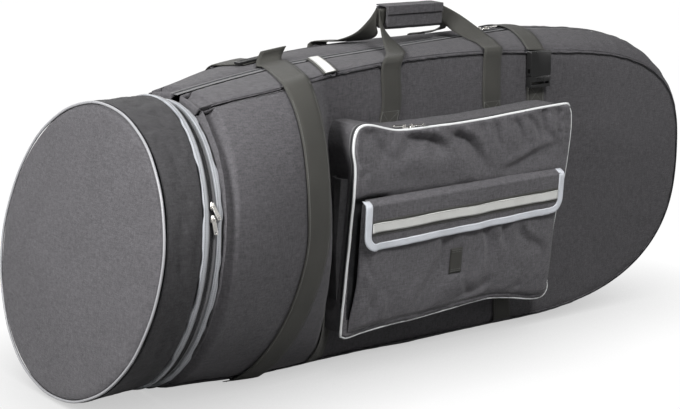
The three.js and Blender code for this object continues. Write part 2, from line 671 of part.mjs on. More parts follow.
const neckEdge = (offset) => ({ y, z }) => {
  const low = Math.max(0, MID_Z - z) / (MID_Z - TUCK_Z);
  const high = smooth(z, MID_Z, ARCH_Z - FLOOR_CROWN);
  const across = Math.max(0, 1 - Math.abs(y) / NECK_SEAM_HALF);
  const overCrest = z > MID_Z ? across * (NECK_STRAP_CREST_X - NECK_STRAP_SEAM_X) : 0;
  const drift = (NECK_STRAP_X - NECK_STRAP_FLOOR_X) * low ** 1.35;
  return NECK_STRAP_X - drift + (NECK_STRAP_SEAM_X - NECK_STRAP_X) * high + overCrest + offset;
};
const neckOffsets = spread(-NECK_STRAP_WIDTH / 2, NECK_STRAP_WIDTH / 2, 4);
const LOCK_Y = 40;
const TAIL_LENGTH = 24;

function webOnLines(lines, lift, thickness = WEB) {
  const grid = (by) => {
    const lifted = lines.map((line) => liftLine(line, by));
    return lifted[0].map((_, i) => lifted.map((line) => line[i]));
  };
  return slab(grid(lift + thickness), grid(lift));
}

// The loose end comes through the lock and stands up just behind the crest
function neckStrapFront() {
  const tailShares = [[0.16, 0.36, 0.2], [0.36, 0.56, 0.5], [0.6, 0.5, 1]];
  const line = (offset) => {
    const on = girthSamples(true, -1).map((point) => solveX(neckEdge(offset), point));
    const over = [0, ZIP_HALF].map((y) => solveX(neckEdge(offset), (x) => gussetPoint(straight(x), 1, y)));
    const top = over[1];
    const tail = tailShares.map(([x, y, z]) => V(top.x + TAIL_LENGTH * x, top.y + TAIL_LENGTH * y,
      top.z + TAIL_LENGTH * z));
    return [...on, ...over, ...tail];
  };
  return webOnLines(neckOffsets.map(line), NECK_STRAP_LIFT);
}

function neckStrapRear() {
  const line = (offset) => {
    const on = girthSamples(true, 1).slice(0, -3).map((point) => solveX(neckEdge(offset), point));
    return [...on, solveX(neckEdge(offset), (x) => gussetPoint(straight(x), 1, LOCK_Y))];
  };
  return webOnLines(neckOffsets.map(line), NECK_STRAP_LIFT);
}

add(bag, 'neck_strap_front', neckStrapFront(), WEBBING);
add(bag, 'neck_strap_rear', neckStrapRear(), WEBBING);

// Strap lock plate with two slots; local X across the strap, Y along it, Z out
const LOCK_LENGTH = 18;
const LOCK_THICK = 4;
function lockGeometry(strapWidth) {
  const half = strapWidth / 2 + LOCK_THICK;
  const shape = roundedRect(-half, -LOCK_LENGTH / 2, half, LOCK_LENGTH / 2, LOCK_THICK / 2);
  const slot = (y) => {
    const path = new THREE.Path();
    path.moveTo(-strapWidth / 2, y - LOCK_THICK / 2);
    path.lineTo(strapWidth / 2, y - LOCK_THICK / 2);
    path.lineTo(strapWidth / 2, y + LOCK_THICK / 2);
    path.lineTo(-strapWidth / 2, y + LOCK_THICK / 2);
    return path;
  };
  shape.holes.push(slot(-LOCK_LENGTH / 4), slot(LOCK_LENGTH / 4));
  return new THREE.ExtrudeGeometry(shape, { depth: LOCK_THICK, bevelEnabled: false, curveSegments: 2 });
}

const neckLockPoint = (offset, y) => solveX(neckEdge(offset), (x) => gussetPoint(straight(x), 1, y));
const lockY = LOCK_Y + LOCK_LENGTH / 2;
const lockAcross = neckLockPoint(NECK_STRAP_WIDTH / 2, lockY)
  .sub(neckLockPoint(-NECK_STRAP_WIDTH / 2, lockY)).normalize();
const lockRun = neckLockPoint(0, LOCK_Y + LOCK_LENGTH).sub(neckLockPoint(0, LOCK_Y)).normalize();
const lockOut = lockAcross.clone().cross(lockRun).normalize();
const lockBase = neckLockPoint(0, lockY).addScaledVector(lockOut, NECK_STRAP_LIFT + WEB + GAP);
const neckLock = groupAt(bag, lockBase, [lockAcross, lockOut.clone().cross(lockAcross), lockOut]);
add(neckLock, 'neck_strap_lock', lockGeometry(NECK_STRAP_WIDTH), PLASTIC);

// Reflective band over the front half of the top gusset
const BAND_X = 405;
const BAND_CREST_X = 440;
const BAND_WIDTH = 28;
const BAND_STRIP = 20;
const BAND_STRIP_THICK = 0.8;
function bandOver(width, lift, thickness) {
  const half = seamHalf(straight(BAND_X));
  const edge = (offset) => spread(ZIP_HALF + 2 * GAP, half - GAP, 4)
    .map((y) => gussetPoint(straight(lerp(BAND_CREST_X, BAND_X, y / half) + offset), 1, -y));
  return webOnLine(edge(-width / 2), edge(width / 2), lift, thickness);
}
add(bag, 'top_band_webbing', bandOver(BAND_WIDTH, LIFT, WEB), WEBBING);
add(bag, 'top_band_reflector', bandOver(BAND_STRIP, LIFT + WEB + GAP, BAND_STRIP_THICK), REFLECTIVE);

// Carry handle: two webbing loops held together by a padded wrap
const HANDLE_WEB = 40;
const GRIP_X = 643;
const GRIP_Z = 570;
const GRIP_LENGTH = 119;
const GRIP_HALF = 17;
const GRIP_BOTTOM = 20;
const GRIP_TOP = 18;
const GRIP_WALL = 5;
const GRIP_WEB = 29.4;      // the webbing is folded inside the grip
const GRIP_LEAD = 8;        // it is already folded this far outside the grip
const LOOP_Y = 5;
const LEFT_FOOT_X = 372;
const LEFT_SEWN_X = 524;
const RIGHT_SEWN_X = 741;
const RIGHT_FOOT_X = 786;
const FOOT_Z = 24;
const SEWN_Z = 430;
const PANEL_EXIT_Z = 496;

// Rise from the panel to the grip: shares of the way in X, Y and Z, share of the width, share of a quarter turn
const LEFT_RISE_SHARES = [[0.12, 0.01, 0.3, 1, 0], [0.64, 0.31, 0.34, 1, 0.04], [0.96, 0.66, 0.5, 0.92, 0.2],
  [1.04, 0.9, 0.76, 0.8, 0.6]];
const RIGHT_RISE_SHARES = [[-0.08, 0.01, 0.3, 1, 0], [-0.2, 0.13, 0.335, 1, 0], [-0.33, 0.31, 0.415, 1, 0.04],
  [-0.33, 0.5, 0.48, 1, 0.1], [0.2, 0.88, 0.76, 0.8, 0.6]];
const HOLLOW_LIFT = 0.9;    // more clearance in the hollow left of the body panel
const HOLLOW_X = 392;

// A row of points across the webbing, outer and inner: on the panel it follows the surface
const HANDLE_COLUMNS = spread(-HANDLE_WEB / 2, HANDLE_WEB / 2, 4);
function panelRow(x, z, face) {
  const row = (extra) => HANDLE_COLUMNS.map((offset) => {
    const hollow = HOLLOW_LIFT * (1 - smooth(x + offset, HOLLOW_X, HOLLOW_X + WALL));
    return V(x + offset, face * (bodyDepthAt(x + offset, z) + LIFT + hollow + extra), z);
  });
  return { at: row(WEB / 2)[2], outer: row(WEB), inner: row(0) };
}

// One leg from the floor seam up to the grip's end
function legRows(footX, sewnX, toward, face) {
  const legShares = [0, 0.06, 0.12, 0.2, 0.3, 0.45, 0.6, 0.8, 1];
  const rows = legShares.map((share) => panelRow(lerp(footX, sewnX, share), lerp(FOOT_Z, SEWN_Z, share), face));
  rows.push(panelRow(sewnX, PANEL_EXIT_Z, face));
  const from = rows[rows.length - 1].at.clone().add(V(0, face * LIFT, 0));
  const endX = GRIP_X - toward * GRIP_LENGTH / 2;
  const to = V(endX - toward * GRIP_LEAD, face * LOOP_Y, GRIP_Z);
  const turned = (share) => V(Math.cos(share * Math.PI / 2), 0, -toward * Math.sin(share * Math.PI / 2));
  const riseShares = toward > 0 ? LEFT_RISE_SHARES : RIGHT_RISE_SHARES;
  const frames = riseShares.map(([sx, sy, sz, width, turn]) => {
    const at = V(lerp(from.x, to.x, sx), lerp(from.y, to.y, sy), lerp(from.z, to.z, sz));
    return { at, width: HANDLE_WEB * width, across: turned(turn) };
  });
  frames.push({ at: to, width: GRIP_WEB, across: turned(1) });
  frames.push({ at: V(endX, face * LOOP_Y, GRIP_Z), width: GRIP_WEB, across: turned(1) });
  frames.forEach(({ at, width, across }, i) => {
    const a = i === 0 ? from : frames[i - 1].at;
    const b = frames[Math.min(frames.length - 1, i + 1)].at;
    const normal = across.clone().cross(b.clone().sub(a).normalize()).normalize();
    if (normal.y * face < 0) normal.negate();
    const row = (side) => HANDLE_COLUMNS.map((offset) => at.clone()
      .addScaledVector(across, offset * width / HANDLE_WEB).addScaledVector(normal, side * WEB / 2));
    rows.push({ at, outer: row(1), inner: row(-1) });
  });
  return rows;
}

function handleLoop(face) {
  const left = legRows(LEFT_FOOT_X, LEFT_SEWN_X, 1, face);
  const right = legRows(RIGHT_FOOT_X, RIGHT_SEWN_X, -1, face).reverse();
  const turnedRow = (row) => [...row].reverse();
  const pick = (key) => [...left.map((row) => row[key]), ...right.map((row) => turnedRow(row[key]))];
  return slab(pick('outer'), pick('inner'));
}

add(bag, 'handle_strap_front', handleLoop(-1), WEBBING);
add(bag, 'handle_strap_rear', handleLoop(1), WEBBING);

const grip = groupAt(bag, V(GRIP_X - GRIP_LENGTH / 2, 0, GRIP_Z));
const trough = new THREE.Shape();
trough.moveTo(-GRIP_HALF, GRIP_TOP);
trough.lineTo(-GRIP_HALF, GRIP_WALL - GRIP_BOTTOM);
trough.lineTo(GRIP_WALL - GRIP_HALF, -GRIP_BOTTOM);
trough.lineTo(GRIP_HALF - GRIP_WALL, -GRIP_BOTTOM);
trough.lineTo(GRIP_HALF, GRIP_WALL - GRIP_BOTTOM);
trough.lineTo(GRIP_HALF, GRIP_TOP);
trough.lineTo(GRIP_HALF - GRIP_WALL, GRIP_TOP);
trough.lineTo(GRIP_HALF - GRIP_WALL, GRIP_WALL - GRIP_BOTTOM);
trough.lineTo(GRIP_WALL - GRIP_HALF, GRIP_WALL - GRIP_BOTTOM);
trough.lineTo(GRIP_WALL - GRIP_HALF, GRIP_TOP);
add(grip, 'grip_wrap', alongBag(trough, GRIP_LENGTH), NYLON_DARK);

const FLAP_THICK = 3;
const LIP_DEPTH = 12;
const lid = new THREE.Shape();
const lidFront = -GRIP_HALF - GAP;
lid.moveTo(GRIP_HALF, GRIP_TOP + GAP);
lid.lineTo(GRIP_HALF, GRIP_TOP + GAP + FLAP_THICK);
lid.lineTo(lidFront - FLAP_THICK, GRIP_TOP + GAP + FLAP_THICK);
lid.lineTo(lidFront - FLAP_THICK, GRIP_TOP - LIP_DEPTH);
lid.lineTo(lidFront, GRIP_TOP - LIP_DEPTH);
lid.lineTo(lidFront, GRIP_TOP + GAP);
add(grip, 'grip_flap', alongBag(lid, GRIP_LENGTH), NYLON_DARK);

// Buckle strap over the crest, right of the handle
const BUCKLE_X = 841;
const BUCKLE_CREST_X = 872;   // its webbing runs aslant to the crest
const BUCKLE_WEB = 40;
const BUCKLE_STRAP_LIFT = 1.2;
const BUCKLE_WIDTH = 46;
const BUCKLE_TOP_Z = 509;
const FEMALE_LENGTH = 44;
const MALE_LENGTH = 20;
const BUCKLE_THICK = 12;
const BUCKLE_WALL = 2.4;
const REAR_END_Y = 66;

function buckleStrapUpper() {
  const line = (offset) => {
    const half = seamHalf(placeAt(BUCKLE_X));
    const ys = [...spread(REAR_END_Y, ZIP_HALF, 2), ...spread(-ZIP_HALF, -half, 5)];
    const along = (y) => offset + lerp(BUCKLE_CREST_X, BUCKLE_X, Math.max(0, -y) / half);
    const points = ys.map((y) => gussetPoint(placeAt(along(y)), 1, y));
    const last = points[points.length - 1];
    return [...points, V(last.x, last.y - WEB - LIFT, last.z - LIFT)];
  };
  return webOnLines([-BUCKLE_WEB / 2, 0, BUCKLE_WEB / 2].map(line), BUCKLE_STRAP_LIFT);
}
add(bag, 'buckle_strap_upper', buckleStrapUpper(), WEBBING);

const LOWER_TOP_Z = 452;
const LOWER_END_Z = 60;
function buckleStrapLower() {
  const line = (x) => spread(LOWER_END_Z, LOWER_TOP_Z, 8).map((z) => V(x, -bodyDepthAt(x, z), z));
  return webOnLines([line(BUCKLE_X - BUCKLE_WEB / 2), line(BUCKLE_X), line(BUCKLE_X + BUCKLE_WEB / 2)], LIFT);
}
add(bag, 'buckle_strap_lower', buckleStrapLower(), WEBBING);

// Buckle: local X across, Z up the strap, Y into the bag; z = 0 is the mouth of the female half
const buckleZ = BUCKLE_TOP_Z - FEMALE_LENGTH;
const buckleBack = bodyDepthAt(BUCKLE_X, buckleZ) + LIFT + WEB + 3 * GAP;
const buckle = groupAt(bag, V(BUCKLE_X, -buckleBack - BUCKLE_THICK / 2, buckleZ));
const buckleLow = bodyDepthAt(BUCKLE_X, buckleZ - 2 * MALE_LENGTH) + LIFT + WEB + 3 * GAP;
buckle.rotation.x = -Math.atan((buckleLow - buckleBack) / (2 * MALE_LENGTH));
const CAVITY_HALF = BUCKLE_WIDTH / 2 - BUCKLE_WALL * 2;
const CAVITY_DEPTH = 18;
const CAVITY_THICK = BUCKLE_THICK - 2 * BUCKLE_WALL;
const WINDOW = 8;
const WINDOW_Z = 9;
const PRONG_WIDTH = 4.4;
const PRONG_LENGTH = 14;
const TONGUE_WIDTH = 8;
const PART_THICK = CAVITY_THICK - 2 * GAP;

const femaleShape = roundedRect(-BUCKLE_WIDTH / 2, 0, BUCKLE_WIDTH / 2, FEMALE_LENGTH, BUCKLE_WALL);
const femaleBlock = frontPlate(femaleShape, BUCKLE_THICK, 2).translate(0, BUCKLE_THICK / 2, 0);
const cavity = box(2 * CAVITY_HALF, CAVITY_THICK, 2 * CAVITY_DEPTH);
const windowSide = box(BUCKLE_WIDTH * 2, CAVITY_THICK, WINDOW, 0, 0, WINDOW_Z);
add(buckle, 'buckle_female', cut(femaleBlock, cavity, windowSide), PLASTIC);

const maleShape = roundedRect(-BUCKLE_WIDTH / 2, -MALE_LENGTH, BUCKLE_WIDTH / 2, -GAP, BUCKLE_WALL);
const maleBlock = frontPlate(maleShape, BUCKLE_THICK - BUCKLE_WALL, 2)
  .translate(0, (BUCKLE_THICK - BUCKLE_WALL) / 2, 0);
const maleSlot = box(BUCKLE_WEB, BUCKLE_THICK * 2, BUCKLE_WALL * 2, 0, 0, -MALE_LENGTH * 0.62);
const tongue = box(TONGUE_WIDTH, PART_THICK, PRONG_LENGTH + BUCKLE_WALL, 0, 0, (PRONG_LENGTH - BUCKLE_WALL) / 2);
add(buckle, 'buckle_male', join(cut(maleBlock, maleSlot), tongue), PLASTIC);

const prongX = CAVITY_HALF - GAP - PRONG_WIDTH / 2;
const prong = (side) => {
  const shape = new THREE.Shape();
  shape.moveTo(-PRONG_WIDTH / 2, 0);
  shape.lineTo(PRONG_WIDTH / 2, 0);
  shape.lineTo(PRONG_WIDTH / 2, PRONG_LENGTH * 0.8);
  shape.lineTo(0, PRONG_LENGTH);
  shape.lineTo(-PRONG_WIDTH / 2, PRONG_LENGTH);
  const plate = frontPlate(shape, PART_THICK).translate(0, PART_THICK / 2, 0);
  if (side < 0) plate.rotateZ(Math.PI);
  return plate.translate(side * prongX, 0, GAP);
};
add(buckle, 'buckle_prong_left', prong(-1), PLASTIC);
add(buckle, 'buckle_prong_right', prong(1), PLASTIC);

// Front pocket, in its own plane: X along the bag, Z up, -Y outwards
const POCKET_X = 389;
const POCKET_Y = -171;
const POCKET_Z = 73;
const POCKET_WIDTH = 467;
const BUCKLE_ROOM = 14;     // room for the buckle's male half to come out above the pocket
const POCKET_HEIGHT = BUCKLE_TOP_Z - FEMALE_LENGTH - MALE_LENGTH - BUCKLE_ROOM - POCKET_Z;
const POCKET_YAW = rad(1.8);
const POCKET_LEAN = rad(-3.4);
const POCKET_PITCH = rad(1.2);
const pocketRight = V(Math.cos(POCKET_YAW), Math.sin(POCKET_YAW), 0);
const pocketRise = V(0, Math.sin(POCKET_LEAN), Math.cos(POCKET_LEAN));
const pocketX = pocketRight.clone().multiplyScalar(Math.cos(POCKET_PITCH))
  .addScaledVector(pocketRise, -Math.sin(POCKET_PITCH)).normalize();
const pocketZ = pocketRight.clone().multiplyScalar(Math.sin(POCKET_PITCH))
  .addScaledVector(pocketRise, Math.cos(POCKET_PITCH));
pocketZ.addScaledVector(pocketX, -pocketZ.dot(pocketX)).normalize();
const pocketIn = pocketZ.clone().cross(pocketX);
const pocketOrigin = V(POCKET_X, POCKET_Y, POCKET_Z);
const pocketBasis = [pocketX, pocketIn, pocketZ];
const pocket = groupAt(bag, pocketOrigin, pocketBasis);
const fromPocket = (x, y, z) => pocketOrigin.clone()
  .addScaledVector(pocketX, x).addScaledVector(pocketIn, y).addScaledVector(pocketZ, z);

// The piping's line, anticlockwise from the bottom left corner, in shares of the pocket's width and height
const rimShares = [
  [0.03, -0.004], [0.11, 0.01], [0.22, 0.022], [0.36, 0.03], [0.5, 0.045], [0.62, 0.058], [0.7, 0.06],
  [0.8, 0.042], [0.93, 0.012], [0.985, 0.045], [0.978, 0.16], [0.992, 0.46], [1.01, 0.56], [1.024, 0.76],
  [1.022, 0.92], [1.004, 0.985], [0.955, 1.004], [0.75, 0.985], [0.56, 0.968], [0.375, 0.96], [0.24, 0.957],
  [0.17, 0.962], [0.07, 0.994], [0.025, 0.99], [0.006, 0.95], [0.004, 0.88], [0.018, 0.8], [0.019, 0.66],
  [0.014, 0.46], [0.008, 0.24], [0.003, 0.06], [0.008, 0.012],
];
const rimLine = rimShares.map(([x, z]) => ({ x: POCKET_WIDTH * x, z: POCKET_HEIGHT * z }));

function insetLine(line, by) {
  return line.map((p, i) => {
    const a = line[(i + line.length - 1) % line.length];
    const b = line[(i + 1) % line.length];
    const length = Math.hypot(b.x - a.x, b.z - a.z);
    return { x: p.x - by * (b.z - a.z) / length, z: p.z + by * (b.x - a.x) / length };
  });
}

const lineShape = (line) => new THREE.Shape(line.map((p) => new THREE.Vector2(p.x, p.z)));
const CORD = 2.4;           // piping radius
const SHEET = 3;            // one layer of padded pocket cloth
const POCKET_ZIP_WIDTH = 12;
const POCKET_ZIP_START_SHARE = 0.12;

const frontLine = insetLine(rimLine, CORD + GAP);
add(pocket, 'pocket_front', frontPlate(lineShape(frontLine), SHEET).translate(0, SHEET, 0), NYLON);

function pipingGeometry() {
  const sides = steps(6).slice(1).map((share) => share * Math.PI * 2);
  const sections = rimLine.map((p, i) => {
    const a = rimLine[(i + rimLine.length - 1) % rimLine.length];
    const b = rimLine[(i + 1) % rimLine.length];
    const out = V(b.z - a.z, 0, a.x - b.x).normalize();
    return sides.map((angle) => V(p.x, CORD, p.z).addScaledVector(out, CORD * Math.cos(angle))
      .add(V(0, -CORD * Math.sin(angle), 0)));
  });
  const count = sections.length;
  const faces = [];
  sections.forEach((section, i) => section.forEach((_, j) => {
    const next = (j + 1) % section.length;
    const at = (row, column) => (row % count) * section.length + column;
    faces.push([at(i, j), at(i + 1, j), at(i + 1, next)], [at(i, j), at(i + 1, next), at(i, next)]);
  }));
  return closedGeometry(sections.flat(), faces);
}
add(pocket, 'pocket_piping', pipingGeometry(), PIPING);

// Gusset and zip run back from the rim; the zip leaves out the floor side
const BACK_CLEAR = 1.1;     // the gusset's back over the webbing under it
const backGap = LIFT + HOLLOW_LIFT + WEB + BACK_CLEAR;
const zipFront = 2 * CORD + GAP;
const zipBack = zipFront + POCKET_ZIP_WIDTH;
const isZipped = (p) => p.z > POCKET_HEIGHT * POCKET_ZIP_START_SHARE;

function backPoint(p) {
  const front = fromPocket(p.x, 0, p.z);
  return V(front.x, -bodyDepthAt(front.x, front.z) - backGap, front.z);
}

function pocketBand(line, frontOf, backOf, ringClosed) {
  const inner = insetLine(line, SHEET);
  const rows = (source) => source.map((p) => [frontOf(p), backOf(p)]);
  return slab(rows(line), rows(inner), ringClosed);
}

// Points added along the longer sides, so that the gusset's back follows the body panel
function finer(line, longest) {
  return line.flatMap((p, i) => {
    const next = line[(i + 1) % line.length];
    const count = Math.ceil(Math.hypot(next.x - p.x, next.z - p.z) / longest);
    return spread(0, 1, count).slice(0, -1).map((t) => ({ x: lerp(p.x, next.x, t), z: lerp(p.z, next.z, t) }));
  });
}

const GUSSET_STEP = 26;
const gussetLine = finer(insetLine(rimLine, GAP), GUSSET_STEP);
const gussetFront = (p) => fromPocket(p.x, isZipped(p) ? zipBack + GAP : zipFront, p.z);
add(bag, 'pocket_gusset', pocketBand(gussetLine, gussetFront, backPoint, true), NYLON);

const zipLine = gussetLine.filter(isZipped);
const zipBand = () => {
  const inner = insetLine(gussetLine, ZIP_TAPE).filter((_, i) => isZipped(gussetLine[i]));
  const rows = (source) => source.map((p) => [fromPocket(p.x, zipFront, p.z), fromPocket(p.x, zipBack, p.z)]);
  return slab(rows(zipLine), rows(inner));
};
add(bag, 'pocket_zip', zipBand(), ZIP_CLOTH);

// Pocket sliders, on the top edge near the left corner
const POCKET_SLIDER_X = 122;
const POCKET_ZIP_SLOPE = 0.043;       // the zip climbs both ways from the sliders
const POCKET_ZIP_SLOPE_LEFT = -0.055;
const topLineZ = (x) => {
  const top = rimLine.filter((p) => p.z > POCKET_HEIGHT * 0.94).sort((a, b) => a.x - b.x);
  const i = Math.max(1, top.findIndex((p) => p.x >= x));
  const share = (x - top[i - 1].x) / (top[i].x - top[i - 1].x);
  return lerp(top[i - 1].z, top[i].z, share);
};
const pocketSliderAt = (x, slope) => {
  const run = V(1, 0, slope).normalize();
  const base = V(x, (zipFront + zipBack) / 2, topLineZ(x) + SLIDER_CLEAR - GAP);
  return groupAt(pocket, base, [run, V(0, 1, 0), run.clone().cross(V(0, 1, 0))]);
};
addSlider(pocketSliderAt(POCKET_SLIDER_X - MAIN_SLIDER_PITCH, POCKET_ZIP_SLOPE_LEFT), 'pocket_left', 0, true);
addSlider(pocketSliderAt(POCKET_SLIDER_X, POCKET_ZIP_SLOPE), 'pocket_right', rad(-20));

// Pouch on the pocket front, open at the top under the flap
const POUCH_LEFT = 24;
const POUCH_RIGHT = 452;
const POUCH_BOTTOM = 30;
const POUCH_TOP = 228;
const POUCH_DEPTH = 9;
const POUCH_SHEET = 2;
const POUCH_ROLL = 14;

function pouchGeometry() {
  const xs = [POUCH_LEFT, POUCH_LEFT + POUCH_ROLL / 3, POUCH_LEFT + POUCH_ROLL,
    ...spread(POUCH_LEFT + POUCH_ROLL, POUCH_RIGHT - POUCH_ROLL, 4).slice(1),
    POUCH_RIGHT - POUCH_ROLL / 3, POUCH_RIGHT];
  const zs = [POUCH_BOTTOM, POUCH_BOTTOM + POUCH_ROLL / 3, POUCH_BOTTOM + POUCH_ROLL,
    ...spread(POUCH_BOTTOM + POUCH_ROLL, POUCH_TOP, 3).slice(1)];
  const bulge = (x, z) => {
    const side = Math.min(x - POUCH_LEFT, POUCH_RIGHT - x) / POUCH_ROLL;
    return POUCH_DEPTH * Math.sqrt(Math.min(1, side)) * Math.sqrt(Math.min(1, (z - POUCH_BOTTOM) / POUCH_ROLL));
  };
  const grid = (thickness) => xs.map((x) => zs.map((z) => V(x, -GAP - bulge(x, z) - thickness, z)));
  return slab(grid(POUCH_SHEET), grid(0));
}
add(pocket, 'pouch', pouchGeometry(), NYLON);

const PATCH_X = 225;
const PATCH_Z = 108;
const PATCH_WIDTH = 26;
const PATCH_HEIGHT = 44;
const PATCH_THICK = 1.4;
const patchY = -(2 * GAP + POUCH_DEPTH + POUCH_SHEET);
const patchShape = roundedRect(PATCH_X - PATCH_WIDTH / 2, PATCH_Z - PATCH_HEIGHT / 2,
  PATCH_X + PATCH_WIDTH / 2, PATCH_Z + PATCH_HEIGHT / 2, PATCH_THICK);
add(pocket, 'loop_patch', frontPlate(patchShape, PATCH_THICK, 1).translate(0, patchY, 0), WEBBING);

// Flap over the pouch: hinged along its top seam, with a pale binding and a reflective strip
const FLAP_LEFT = 22;
const FLAP_RIGHT = 457;
const FLAP_TOP_LEFT = 234;
const FLAP_TOP_RIGHT = 247;
const FLAP_LOW_LEFT = 149;
const FLAP_LOW_RIGHT = 169;
const FLAP_SHEET = 2.4;
const FLAP_CORNER = 26;
const BIND_WIDTH = 12;
const BIND_PROUD = 0.6;
const flapOut = -(3 * GAP + POUCH_DEPTH + POUCH_SHEET + PATCH_THICK + GAP);
const FLAP_HINGE_Y = -(FLAP_SHEET + 2 * GAP);
const flapEdge = (low, x) => lerp(low ? FLAP_LOW_LEFT : FLAP_TOP_LEFT, low ? FLAP_LOW_RIGHT : FLAP_TOP_RIGHT,
  (x - FLAP_LEFT) / (FLAP_RIGHT - FLAP_LEFT));

// Height of the flap's lower edge at x, rounded at both corners
function flapLow(x, inset) {
  const side = Math.min(x - FLAP_LEFT, FLAP_RIGHT - x) - inset;
  const r = FLAP_CORNER - inset;
  const round = side >= r ? 0 : r - Math.sqrt(Math.max(0, r * r - (r - side) ** 2));
  return flapEdge(true, x) + inset + round;
}

function flapSheet(inset, thickness, proud) {
  const cornerShares = [0, 0.08, 0.3, 0.6, 1];
  const left = cornerShares.map((share) => FLAP_LEFT + inset + (FLAP_CORNER - inset) * share);
  const right = cornerShares.map((share) => FLAP_RIGHT - inset - (FLAP_CORNER - inset) * share).reverse();
  const middle = spread(left[left.length - 1], right[0], 4).slice(1, -1);
  const xs = [...left, ...middle, ...right];
  const downShares = [0, 0.045, 0.24, 0.5, 1];
  const grid = (extra) => xs.map((x) => downShares.map((share) => {
    const top = flapEdge(false, x) - 2 * GAP;
    const z = lerp(top, Math.min(flapLow(x, inset), top - FLAP_CORNER), share);
    const out = lerp(FLAP_HINGE_Y + FLAP_SHEET, flapOut, smooth(share, 0, downShares[1]));
    return V(x, out - proud - extra, z);
  }));
  return slab(grid(thickness), grid(0));
}
add(pocket, 'pouch_flap', flapSheet(BIND_WIDTH / 2, FLAP_SHEET, 0), NYLON);

function flapBinding() {
  const outline = new THREE.Shape();
  const cornerX = (side, share) => (side < 0 ? FLAP_LEFT + FLAP_CORNER * share : FLAP_RIGHT - FLAP_CORNER * share);
  const shares = [0, 0.03, 0.12, 0.3, 0.6, 1];
  const topInset = FLAP_CORNER;
  const outer = [...shares.map((s) => cornerX(-1, s)), ...shares.map((s) => cornerX(1, s)).reverse()]
    .map((x) => new THREE.Vector2(x, flapLow(x, 0)));
  const inner = [...shares.map((s) => lerp(FLAP_LEFT + BIND_WIDTH, FLAP_LEFT + FLAP_CORNER, s)),
    ...shares.map((s) => lerp(FLAP_RIGHT - BIND_WIDTH, FLAP_RIGHT - FLAP_CORNER, s)).reverse()]
    .map((x) => new THREE.Vector2(x, flapLow(x, BIND_WIDTH)));
  const topLeft = flapEdge(false, FLAP_LEFT) - topInset;
  const topRight = flapEdge(false, FLAP_RIGHT) - topInset;
  const points = [new THREE.Vector2(FLAP_LEFT, topLeft), ...outer, new THREE.Vector2(FLAP_RIGHT, topRight),
    new THREE.Vector2(FLAP_RIGHT - BIND_WIDTH, topRight), ...inner.reverse(),
    new THREE.Vector2(FLAP_LEFT + BIND_WIDTH, topLeft)];
  outline.setFromPoints(points);
  return frontPlate(outline, BIND_PROUD).translate(0, flapOut - FLAP_SHEET - GAP, 0);
}
add(pocket, 'flap_binding', flapBinding(), PALE_BINDING);

const STRIP_LOW_LEFT = 180;
const STRIP_LOW_RIGHT = 194;
const STRIP_HEIGHT = 16;
const STRIP_WEB_HEIGHT = 25;
const STRIP_THICK = 0.7;
function flapStrip(height, y, left, right) {
  const middle = (x) => lerp(STRIP_LOW_LEFT, STRIP_LOW_RIGHT, (x - left) / (right - left)) + STRIP_HEIGHT / 2;
  const shape = new THREE.Shape();
  shape.moveTo(left, middle(left) - height / 2);
  shape.lineTo(right, middle(right) - height / 2);
  shape.lineTo(right, middle(right) + height / 2);
  shape.lineTo(left, middle(left) + height / 2);
  return frontPlate(shape, STRIP_THICK).translate(0, y, 0);
}
const stripLeft = FLAP_LEFT + BIND_WIDTH + 4 * GAP;
const stripRight = FLAP_RIGHT - BIND_WIDTH - 4 * GAP;
const stripBase = flapOut - FLAP_SHEET - GAP;
add(pocket, 'flap_webbing', flapStrip(STRIP_WEB_HEIGHT, stripBase, stripLeft, stripRight), WEBBING);
const reflectorY = stripBase - STRIP_THICK - GAP;
add(pocket, 'flap_reflector', flapStrip(STRIP_HEIGHT, reflectorY, stripLeft, stripRight), REFLECTIVE);

// Small side pocket on the left end of the front pocket
const SIDE_TOP = 266;
const SIDE_BOTTOM = 60;
const SIDE_SHEET = 2.2;
const SIDE_FROM_SHARE = 0.04;
const SIDE_TO_SHARE = 0.66;
const SIDE_DEPTH = 11;
function sidePocket() {
  const zs = spread(SIDE_BOTTOM, SIDE_TOP, 4);
  const left = rimLine.filter((p) => p.x < POCKET_WIDTH * 0.03).sort((a, b) => a.z - b.z);
  const edgeX = (z) => {
    const i = Math.max(1, left.findIndex((p) => p.z >= z));
    return lerp(left[i - 1].x, left[i].x, (z - left[i - 1].z) / (left[i].z - left[i - 1].z));
  };
  const depthShares = [0, 0.12, 0.5, 0.88, 1];
  const grid = (extra) => zs.map((z, i) => depthShares.map((share) => {
    const x = edgeX(z);
    const back = backPoint({ x, z });
    const front = fromPocket(x, zipBack + GAP, z);
    const p = front.clone().lerp(back, lerp(SIDE_FROM_SHARE, SIDE_TO_SHARE, share));
    const open = SIDE_DEPTH * Math.min(1, i / 2) * Math.min(1, 8 * share * (1 - share));
    return V(p.x - 2 * GAP - open - extra, p.y, p.z);
  }));
  return slab(grid(SIDE_SHEET), grid(0));
}
add(bag, 'side_pocket', sidePocket(), NYLON_DARK);

// Shoulder straps on the rear panel
const SHOULDER_FROM_X = 432;
const SHOULDER_TO_X = 800;
const SHOULDER_WIDTH = 62;
const SHOULDER_THICK = 13;
const SHOULDER_Z = 262;
const SHOULDER_SPREAD = 62;
const SHOULDER_BOW = 26;
const LOWER_WEB = 25;
const LOWER_TO_X = 985;
const LOWER_SPREAD = 150;
const SHOULDER_LOCK_OFFSET = 24;

function shoulderCentre(share, side) {
  const x = lerp(SHOULDER_FROM_X, SHOULDER_TO_X, share);
  const z = SHOULDER_Z + side * (SHOULDER_SPREAD + SHOULDER_BOW * Math.sin(Math.PI * share));
  return V(x, bodyDepthAt(x, z), z);
}

